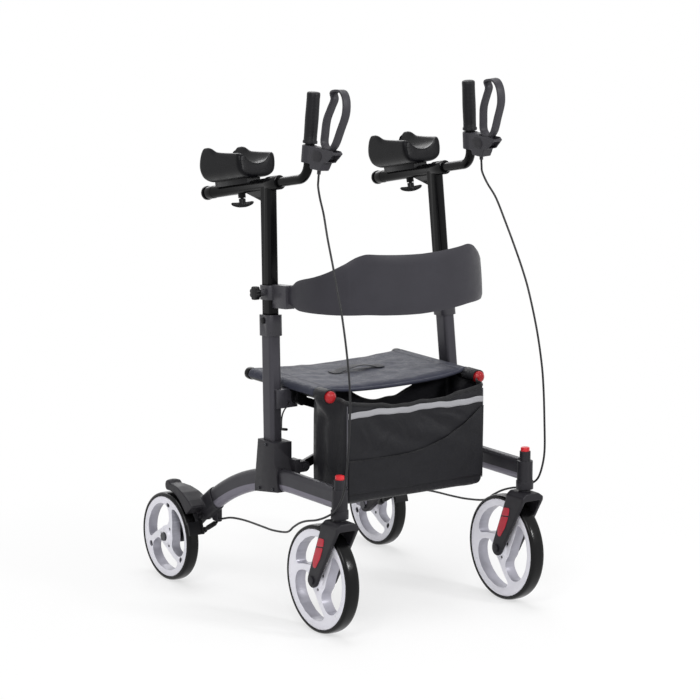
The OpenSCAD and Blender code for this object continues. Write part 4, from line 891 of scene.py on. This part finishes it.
SCREW = [(0.01, 0.9), (1.5, 0.9), (1.7, 1.9), (2.9, 1.9), (3.4, 1.5), (3.6, 0.6), (3.6, -1)]
BOLT = [(0.01, 1.4), (3.4, 1.4), (3.8, 3.4), (6.2, 3.4), (7, 2.8), (7.2, -0.5)]
BARREL = [(0.01, 0), (3.4, 0), (3.6, 0.6), (3.6, 9), (5.6, 9.6), (6, 10.6)]
for h in range(12, 42, 5):
    BARREL += [(6, h), (5.2, h + 0.8), (5.2, h + 2.6), (6, h + 3.4)]
BARREL += [(6, 46), (5, 47.4), (4, 48), (4, 58), (6.4, 59), (7, 61), (7, 71), (6, 73), (0.01, 73.4)]
BRACKET_SCREWS = ((178.6, 302.9), (237.4, 295.9), (208, 405))
AXLE_Y, AXLE_Z = 610, 121
AXLE_PLATE = rounded_outline([(AXLE_Y + y, AXLE_Z + z)
                              for y, z in ((-28, -6), (-20, 19), (16, 19), (28, 2), (20, -19), (-14, -19))])
AXLE_STEPS = ((1.0, 265.4), (1.0, 264), (0.95, 263.4), (0.5, 263.2))
BADGE = rounded_outline([(-25, 58), (-34, 70), (-60, 70), (-70, 58), (-60, 44), (-34, 44)])
BADGE_STEPS = ((1.0, 13), (1.0, 13.9), (0.94, 14.3), (0.5, 14.4))
for s, k in SIDES.items():
    turned(f"cable_adjuster_{s}", f"frame_{s}", k, (262, 459, 164), (0, 58, -32), BARREL, "black_deep")
    o = raised(f"axle_plate_{s}", AXLE_PLATE, AXLE_STEPS, P, k, "plate", (AXLE_Y, AXLE_Z))
    attach(o, f"frame_{s}")
    turned(f"axle_plate_bolt_{s}", f"frame_{s}", k, (AXLE_STEPS[-1][1], AXLE_Y, AXLE_Z), (-1, 0, 0), BOLT,
           "dark_steel")
    turned(f"crown_screw_{s}", f"caster_{s}", k, (276, -96.4, 262), (0, -1, 0), SCREW, "dark_steel")
    for y, z in BRACKET_SCREWS:
        turned(f"bracket_screw_{s}_{int(y)}", f"frame_{s}", k, (285, y, z), (1, 0, 0), SCREW, "dark_steel", 24)
    for tag, out in FACES:
        o = raised(f"brake_badge_{tag}_{s}", BADGE, BADGE_STEPS,
                   lambda h, y, z: at(UPRIGHT, out * h, y, z), k, "black")
        attach(o, f"handle_{s}")

# Wire catch with its tab, hung under the right seat saddle
CATCH_X = -228
WIRE = ((196, 502), (200, 493), (213, 481), (222, 468), (226, 453), (226.6, 432))
TAB = ((229, 431, 0.5), (226, 431.4, 0.9), (218, 432.6, 1), (209, 434, 1), (203, 435, 0.9), (201, 435.4, 0.5))
o = tube("fold_catch_wire", smooth_curve([P(CATCH_X, y, z) for y, z in WIRE]), 0.0017, "black_deep", 10)
attach(o, "frame_right")
rings = []
for y, z, g in TAB:
    rings += [P(CATCH_X, y, z) + Vector((0.002 * g * c, 0.0004 * g * q, 0.0034 * g * q)) for c, q in oval(1, 1, 12)]
o = add_mesh("fold_catch_tab", rings, ring_faces(len(TAB), 12), "black_deep", 50)
attach(o, "frame_right")


# Brake cables: one outer sleeve per side, in two lengths that meet where both follow the upper post
ROUTE = [(228.9, 70.2, 1058.4), (230.5, 70.7, 1035.4), (231.7, 69.3, 1021), (236, 55, 996), (243, 30, 964),
         (250, 4, 914), (256, -26, 857), (261, -52, 804), (264, -74, 753), (268, -100, 670), (271, -117, 590),
         (274, -122, 527), (278, -122, 450), (282, -119, 385), (284, -109, 344), (288, -88, 309), (291, -58, 289),
         (293, -20, 273), (294, 22, 262), (291, 55, 250), (288, 85, 234), (285, 117, 215), (281, 180, 205),
         (276, 233, 202), (271, 315, 199), (266, 384, 191), (262, 433, 178), (260, 450, 174)]
CABLE_D = 0.005
JOIN = 7  # the point of the route where the two lengths meet


for s, k in SIDES.items():
    line = [P(*p) for p in ROUTE]
    upper = mirrored(smooth_curve(line[:JOIN + 2])[:JOIN * CURVE_STEPS + 1], k)
    lower = mirrored(smooth_curve(line[JOIN - 1:])[CURVE_STEPS:], k)
    for tag, pts, a, b, start, end in (("upper", upper, f"handle_{s}", f"post_{s}", 0, -4),
                                       ("lower", lower, f"post_{s}", f"frame_{s}", 4, 88)):
        o = tube(f"brake_cable_{s}_{tag}", pts, CABLE_D / 2, "jacket", 14)
        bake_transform(o)
        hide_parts(f"brake_cable_{s}")


# Back strap: a padded band that widens from its clamps to the middle of the back
END = at(POST, -5, -74.3, 339)
STRAP_TOP = [(0, 21), (2.5, 37), (6, 45), (20, 59), (30, 70), (45, 91), (57, 110), (63, 114), (70, 112), (90, 106)]
STRAP_LOW = [(0, -15), (2.5, -23), (6, -26), (30, -25), (60, -25), (75, -29), (90, -34)]
STRAP_T, STRAP_EDGE = 0.005, 0.004
STRAP_REACH = 0.186
STRAP_ROWS, STRAP_BEND = 121, 33  # the sides end and the middle starts at row STRAP_BEND
SIDE_KEEP = 0.15
CLOSING = 0.1351  # how far each side comes in when the walker is folded


def strap_row(a):
    c, q = cos(rad(a)), sin(rad(a))
    x, y = END.x * signed_pow(c, 2 / 3), -STRAP_REACH * abs(q) ** (2 / 3)
    out = Vector((signed_pow(c, 4 / 3) / END.x, -abs(q) ** (4 / 3) / STRAP_REACH, 0)).normalized()
    t = a if a <= 90 else 180 - a
    return Vector((x, END.y + y, END.z)), out, interp(STRAP_LOW, t) / 1000, interp(STRAP_TOP, t) / 1000


def strap_ring(a):
    base, out, low, top = strap_row(a)
    lean = abs(cos(rad(a)))
    half = (top - low) / 2
    section = []
    for u in spread(-1, 1, 12):
        past = max(0, (abs(u) * half - half + STRAP_EDGE) / STRAP_EDGE)
        section.append((STRAP_T / 2 * min(1, sqrt(max(0, 1 - past ** 2)) + 0.12), u))
    ring = []
    for t, u in section + [(-t, u) for t, u in reversed(section)]:
        z = (low + top) / 2 + u * half
        p = base + out * (t + 0.0012 * sin(pi * (u + 1) / 2)) + Vector((0, 0, z))
        ring.append(p + Vector((-copysign(1, cos(rad(a))) * z * lean * tan(rad(LEAN_IN)),
                                z * lean * tan(rad(LEAN_BACK)), 0)))
    return ring


def back_strap():
    """The band in three pieces: the left side rides on the left clamp, the middle and the right side on the right
    clamp.
    """
    last = STRAP_ROWS - 1
    rings = [strap_ring(a) for a in spread(0, 180, last)]
    n = len(rings[0])
    inset = END.x - abs(strap_row(180 * STRAP_BEND / last)[0].x)
    mid_keep = (END.x - CLOSING - SIDE_KEEP * inset) / (END.x - inset)
    fixed = inset * (1 - (1 - SIDE_KEEP) / (1 - mid_keep))
    for tag, a, b, body, keep, x in (("left", 0, STRAP_BEND, "clamp_left", SIDE_KEEP, END.x),
                                     ("middle", STRAP_BEND, last - STRAP_BEND, "clamp_right", mid_keep, fixed - END.x),
                                     ("right", last - STRAP_BEND, last, "clamp_right", SIDE_KEEP, -END.x)):
        verts = [p for ring in rings[a:b + 1] for p in ring]
        o = add_mesh(f"back_strap_{tag}", verts, ring_faces(b - a + 1, n), "strap", 60)
        attach(o, body, "back_strap")
        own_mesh(o)


back_strap()


# Seat: cloth stretched between sleeves on the two rails, with a webbing pull handle
RAIL_X, RAIL_Z, RAIL_R = 212, 537, 13
SEAT_Y0, SEAT_Y1, SEAT_SAG, PULL_Y = 96, 372, 9, 250
SLEEVE = RAIL_R + 0.6
WRAP_END = -18  # degrees at which the sleeve's edge lies outside the rail


def folding(o, node=None):
    """A soft piece that rides on the right rail."""
    attach(o, "rail_right", node)
    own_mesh(o)


def seat_line(across=46):
    """Points (x, z) of the cloth's middle layer from the left sleeve's edge to the right one's."""
    left = [(RAIL_X + SLEEVE * cos(rad(a)), RAIL_Z + SLEEVE * sin(rad(a)))
            for a in spread(WRAP_END, 92, 14)]
    mid = [(RAIL_X * 0.985 * u, RAIL_Z + SLEEVE - SEAT_SAG * (1 - u * u)) for u in spread(1, -1, across)[1:-1]]
    return left + mid + [(-x, z) for x, z in reversed(left)]


def slack(x):
    """How far the cloth at x is free of its sleeves, from 0 to 1."""
    return max(0.0, 1 - (abs(x / RAIL_X) / 0.97) ** 6)


def front_wave(x):
    return 2.0 * slack(x) * sin(x / RAIL_X * 2.4 + 0.4)


def seat_cloth():
    line = seat_line()
    rows = 44
    verts = []
    for v in spread(0, 1, rows):
        y = SEAT_Y0 + (SEAT_Y1 - SEAT_Y0) * v
        front = max(0.0, 1 - (y - SEAT_Y0) / 12)
        for x, z in line:
            w = 2.0 * ripple(x / 60, y / 34, 2.1) + 1.3 * ripple(x / 22, y / 40, 5.7)
            pull = exp(-((x / 95) ** 2 + ((y - PULL_Y) / 34) ** 2))
            w += 2.3 * pull * sin(x / 9 + 2 * sin(y / 14))
            verts.append(P(x, y - slack(x) * 3 * front + front_wave(x) * (1 - v), z + slack(x) * (w - 9 * front ** 2)))
    o = add_mesh("seat_sling_cloth", verts, ring_faces(rows + 1, len(line), close=False, caps=False), "seat", 0)
    modify(o, "SOLIDIFY", thickness=0.0026, offset=0)
    modify(o, "SUBSURF", levels=1, render_levels=1)
    apply_all(o)
    folding(o, "seat_sling")


def seat_top(x):
    return RAIL_Z + SLEEVE - SEAT_SAG * (1 - (x / RAIL_X) ** 2) + 1.6


RAIL_PLUG = [(13, 374), (14.2, 374.4), (14.6, 376), (14.6, 386), (13.8, 390), (11, 392.4), (6, 393.4), (0.01, 393.6)]
STITCH, STITCH_R = 5, 0.00042


def seat_trim():
    """Rolled front hem, stitch lines beside the sleeves and hem, and the plugs in the rails' rear ends."""
    hem = []
    for x in spread(RAIL_X, -RAIL_X, 60):
        hem.append(P(x, SEAT_Y0 + 1.5 - 3 * slack(x) + front_wave(x), seat_top(x) - 2.5 - 8 * slack(x)))
    rings = sweep(hem, oval(0.0052, 0.0042, 14), (0, 1, 0))
    folding(add_mesh("seat_front_hem", rings, ring_faces(61, 14), "seat", 50))
    runs = [[P(k * 190, SEAT_Y0 + 12 + STITCH * i, seat_top(190) + 0.5) for i in range(53)] for k in (1, -1)]
    runs.append([P(x, SEAT_Y0 + 17, seat_top(x) + 0.4) for x in range(-180, 181, STITCH)])
    stitches = []
    for run in runs:
        for a, c in zip(run, run[1:]):
            b = a.lerp(c, 0.68)
            crown = a.lerp(b, 0.5) + Vector((0, 0, 0.0003))
            stitches.append((sweep([a, crown, b], oval(STITCH_R, STITCH_R, 5), (0.3, 0.2, 1)), ring_faces(3, 5)))
    folding(add_mesh("seat_stitches", *merge(stitches), "thread", 50))
    for s, k in SIDES.items():
        m = Matrix.Translation(P(RAIL_X, 0, RAIL_Z)) @ turn(-90, 0, 0)
        o = lathe(f"rail_rear_plug_{s}", RAIL_PLUG, m, k, "black_gloss", 40)
        attach(o, f"rail_{s}")


WEB_W, WEB_T = 0.026, 0.0022
WEB_SECTION = ((-0.5, 0.2), (-0.5, 0.8), (-0.44, 1), (0.44, 1), (0.5, 0.8), (0.5, 0.2), (0.44, 0), (-0.44, 0))


def pull_handle():
    """A flat web that stands up a little between its sewn ends."""
    pts = []
    for x in spread(-76, 76, 40):
        rise = 10 * max(0.0, 1 - (x / 58) ** 2)
        pts.append(P(x, PULL_Y + 4 * sin(x / 44), seat_top(x) + 0.6 + rise))
    rings = []
    for i, p in enumerate(pts):
        d, a = heading(pts, i), Vector((0.06, 1, 0.10 * sin(i / 5)))
        a = (a - d * a.dot(d)).normalized()
        lift = d.cross(a)
        lift = -lift if lift.z < 0 else lift
        rings += [p + a * q * WEB_W + lift * h * WEB_T for q, h in WEB_SECTION]
    folding(add_mesh("seat_pull_handle", rings, ring_faces(41, 8), "web", 50))


seat_cloth()
seat_trim()
pull_handle()


# Tote bag: one lofted shell that hangs from loops over the front of the rails, open at the top
BAG_W, BAG_Y0, BAG_Y1, BAG_Z0, BAG_TOP = 195, 4, 147, 287, 530
BAG_R = 11
FRONT_TOP = [(0, 508), (60, 509), (110, 515), (150, 521), (BAG_W, 529)]
REAR_TOP = [(0, 490), (30, 492), (75, 509), (120, 527), (BAG_W, 530)]
SIDE_TOP = [(BAG_Y0, 529), (40, 534), (58, 537), (96, 537), (BAG_Y1, 530)]


def bag_plan(step=7.0):
    """Points (x, y) and outward directions round the bag, from the front's left corner on."""
    w, y0, y1 = BAG_W - BAG_R, BAG_Y0 + BAG_R, BAG_Y1 - BAG_R
    corners = [(w, y0, -90), (w, y1, 0), (-w, y1, 90), (-w, y0, 180)]
    out = []
    for k, (cx, cy, a0) in enumerate(corners):
        for a in spread(rad(a0), rad(a0 + 90), 6):
            out.append((cx + BAG_R * cos(a), cy + BAG_R * sin(a), cos(a), sin(a)))
        x, y, nx, ny = out[-1]
        cx, cy, _ = corners[(k + 1) % 4]
        p, q = Vector((x, y)), Vector((cx + BAG_R * nx, cy + BAG_R * ny))
        n = int((q - p).length / step)
        out += [(*p.lerp(q, i / n), nx, ny) for i in range(1, n)]
    return out


def bag_top(x, y, nx, ny):
    if abs(nx) > 0.7:
        return interp(SIDE_TOP, y)
    wave = 1.6 * sin(x / 19 + 0.7) + 0.9 * sin(x / 8.5)
    return interp(FRONT_TOP if ny < 0 else REAR_TOP, abs(x)) + wave * max(0.0, 1 - (x / 170) ** 4)


CREASES = [(-150, 470, -128, 412), (-103, 468, -82, 405), (-44, 466, -22, 410), (2, 474, 22, 412),
           (18, 478, 92, 424), (64, 482, 148, 450), (110, 470, 128, 446), (-70, 440, -128, 402)]


def creasing(x, z):
    """Short folds in the front panel's slack cloth, each a valley with a ridge beside it."""
    d = 0.0
    for x0, z0, x1, z1 in CREASES:
        ex, ez = x1 - x0, z1 - z0
        size = hypot(ex, ez)
        along = ((x - x0) * ex + (z - z0) * ez) / size ** 2
        aside = ((x - x0) * ez - (z - z0) * ex) / size + 5 * sin(along * 2.6)
        fade = exp(-((along - 0.45) / 0.5) ** 4)
        d += fade * (1.5 * exp(-((aside - 8) / 7) ** 2) - 2.3 * exp(-(aside / 5) ** 2))
    return d


def bag_point(x, y, nx, ny, z, out=0.0):
    """A point of the bag's surface: panels swell, sag and crease between their seams."""
    v = (z - BAG_Z0) / (BAG_TOP - BAG_Z0)
    swell = sin(pi * clamp(v * 0.9 + 0.05))
    flat = abs(ny) > 0.7
    across = 1 - (x / BAG_W if flat else (2 * y - BAG_Y0 - BAG_Y1) / (BAG_Y1 - BAG_Y0)) ** 2
    across = max(0.0, across) ** 0.7
    d = (2.5 if flat else 7.0) * swell * across
    if ny < -0.7:
        fold = sin((x * 0.8 + (z - 430) * 1.3) / 19 + 2.2 * ripple(x / 90, z / 70, 1.3))
        d += 2.2 * fold * across * clamp((z - 385) / 40) * clamp((500 - z) / 25)
        d += 1.6 * ripple(x / 55, 0.4, z / 60) * across + creasing(x, z)
        d -= 7 * across * max(0.0, (v - 0.86) / 0.14) ** 1.5
    elif ny > 0.7:
        d += 2.4 * ripple(x / 60, 3.1, z / 60) * across - 4 * across * max(0.0, (v - 0.8) / 0.2) ** 1.5
    else:
        d += 2.6 * sin(y / 8.5 + 1.6 * ripple(y / 40, z / 60, 7.7)) * across * min(1, v * 1.6)
        d += 2.0 * ripple(0.3, y / 40, z / 45) * across
    low = max(0.0, (BAG_Z0 + 22 - z) / 22)
    d -= 15 * (1 - sqrt(max(0.0, 1 - low * low)))
    flare = 0.0
    if abs(nx) > 0.3:
        near = exp(-((y - 77) / 34) ** 4)
        rise = ease(clamp((z - 470) / 64))
        flare = copysign(1, nx) * near * 33 * rise * min(1, abs(nx))
    return P(x + nx * (d + out) + flare, y + ny * (d + out), z)


def bag_piece(o, node=None):
    folding(o, node)


def tote_bag():
    plan = bag_plan()
    n, rows = len(plan), 40
    verts = []
    for t in spread(0, 1, rows):
        for x, y, nx, ny in plan:
            z = BAG_Z0 + (bag_top(x, y, nx, ny) - BAG_Z0) * (t ** 1.25 * 0.35 + t * 0.65)
            verts.append(bag_point(x, y, nx, ny, z))
    faces = ring_faces(rows + 1, n, caps=False)
    mid = P(0, (BAG_Y0 + BAG_Y1) / 2, BAG_Z0)
    m = len(verts)
    for share in (0.75, 0.45, 0.15):
        verts += [Vector((e.x * share, mid.y + (e.y - mid.y) * share, e.z - 0.002 * (1 - share))) for e in verts[:n]]
    for k in range(3):
        a, b = (0 if k == 0 else m + (k - 1) * n), m + k * n
        faces += [(a + (i + 1) % n, a + i, b + i, b + (i + 1) % n) for i in range(n)]
    faces.append(tuple(m + 2 * n + i for i in range(n)))
    o = add_mesh("tote_bag_shell", verts, faces, "bag", 0)
    modify(o, "SOLIDIFY", thickness=0.0022, offset=-1)
    modify(o, "SUBSURF", levels=1, render_levels=1)
    apply_all(o)
    bag_piece(o, "tote_bag")


def front_patch(name, low, high, mat, lift, cols, rows):
    """A sewn panel on the bag's front between two heights given by functions of x."""
    half = BAG_W - 3
    verts = []
    for v in spread(0, 1, rows):
        for x in spread(-half, half, cols):
            z = low(x) + (high(x) - low(x)) * v
            verts.append(bag_point(x, BAG_Y0, 0, -1, z, lift(v)))
    o = add_mesh(name, verts, ring_faces(rows + 1, cols + 1, close=False, caps=False), mat, 0)
    modify(o, "SOLIDIFY", thickness=0.0012, offset=0)
    apply_all(o)
    bag_piece(o)


POCKET = [(-BAG_W, 391), (-120, 390), (-57, 390), (14, 397), (60, 409), (85, 418), (130, 439), (156, 457), (176, 471),
          (BAG_W, 480)]
LOOP_SECTION = ((49.5, 0.4), (49, 1.4), (50, 2.3), (93.5, 2.3), (94.5, 1.4), (94, 0.4), (92, 0), (51, 0))


def pocket_top(x):
    return interp(POCKET, x)


def strip_mid(x):
    return 496 - 2.5 * x / BAG_W + 1.4 * sin(x / 23) + 0.8 * sin(x / 9 + 1)


def bag_trim():
    """Pocket with its hem, reflective strip, piping on the front corners, rim binding, and the loops over the rails."""
    front_patch("tote_bag_pocket", lambda x: BAG_Z0 + 24, pocket_top, "bag", lambda v: 1.2 + 1.6 * v ** 3, 90, 26)
    half = BAG_W - 3
    hem = [bag_point(x, BAG_Y0, 0, -1, pocket_top(x), 3.2) for x in spread(-half, half, 80)]
    bag_piece(tube("tote_bag_pocket_hem", hem, 0.0012, "binding", 8))
    front_patch("tote_bag_reflector", lambda x: strip_mid(x) - 7, lambda x: strip_mid(x) + 7, "reflect", lambda v: 1.0,
                120, 4)
    for s, k in SIDES.items():
        edge = [bag_point(k * (BAG_W - 2.6), BAG_Y0 + 2.8, k * 0.6, -0.8, z, 1.0) for z in spread(306, 520, 40)]
        bag_piece(tube(f"tote_bag_piping_{s}", edge, 0.0013, "piping", 8))
    top = [bag_point(*p, bag_top(*p) - 1.5, -0.9) for p in bag_plan()]
    rings = sweep(top + top[:2], oval(0.0021, 0.005, 10), (0, 1, 0))
    bag_piece(add_mesh("tote_bag_rim_binding", rings, ring_faces(len(top) + 2, 10), "binding", 50))
    for s, k in SIDES.items():
        rings, steps = [], 21
        for a in spread(rad(-62), rad(200), steps):
            r = SLEEVE + 1.2 + 0.6 * sin(3 * a)
            for y, t in LOOP_SECTION:
                rings.append(P(k * (RAIL_X + (r + t) * cos(a)), y, RAIL_Z + (r + t) * sin(a)))
        o = add_mesh(f"tote_bag_loop_{s}", rings, ring_faces(steps + 1, len(LOOP_SECTION)), "bag", 50)
        attach(o, f"rail_{s}")


tote_bag()
bag_trim()
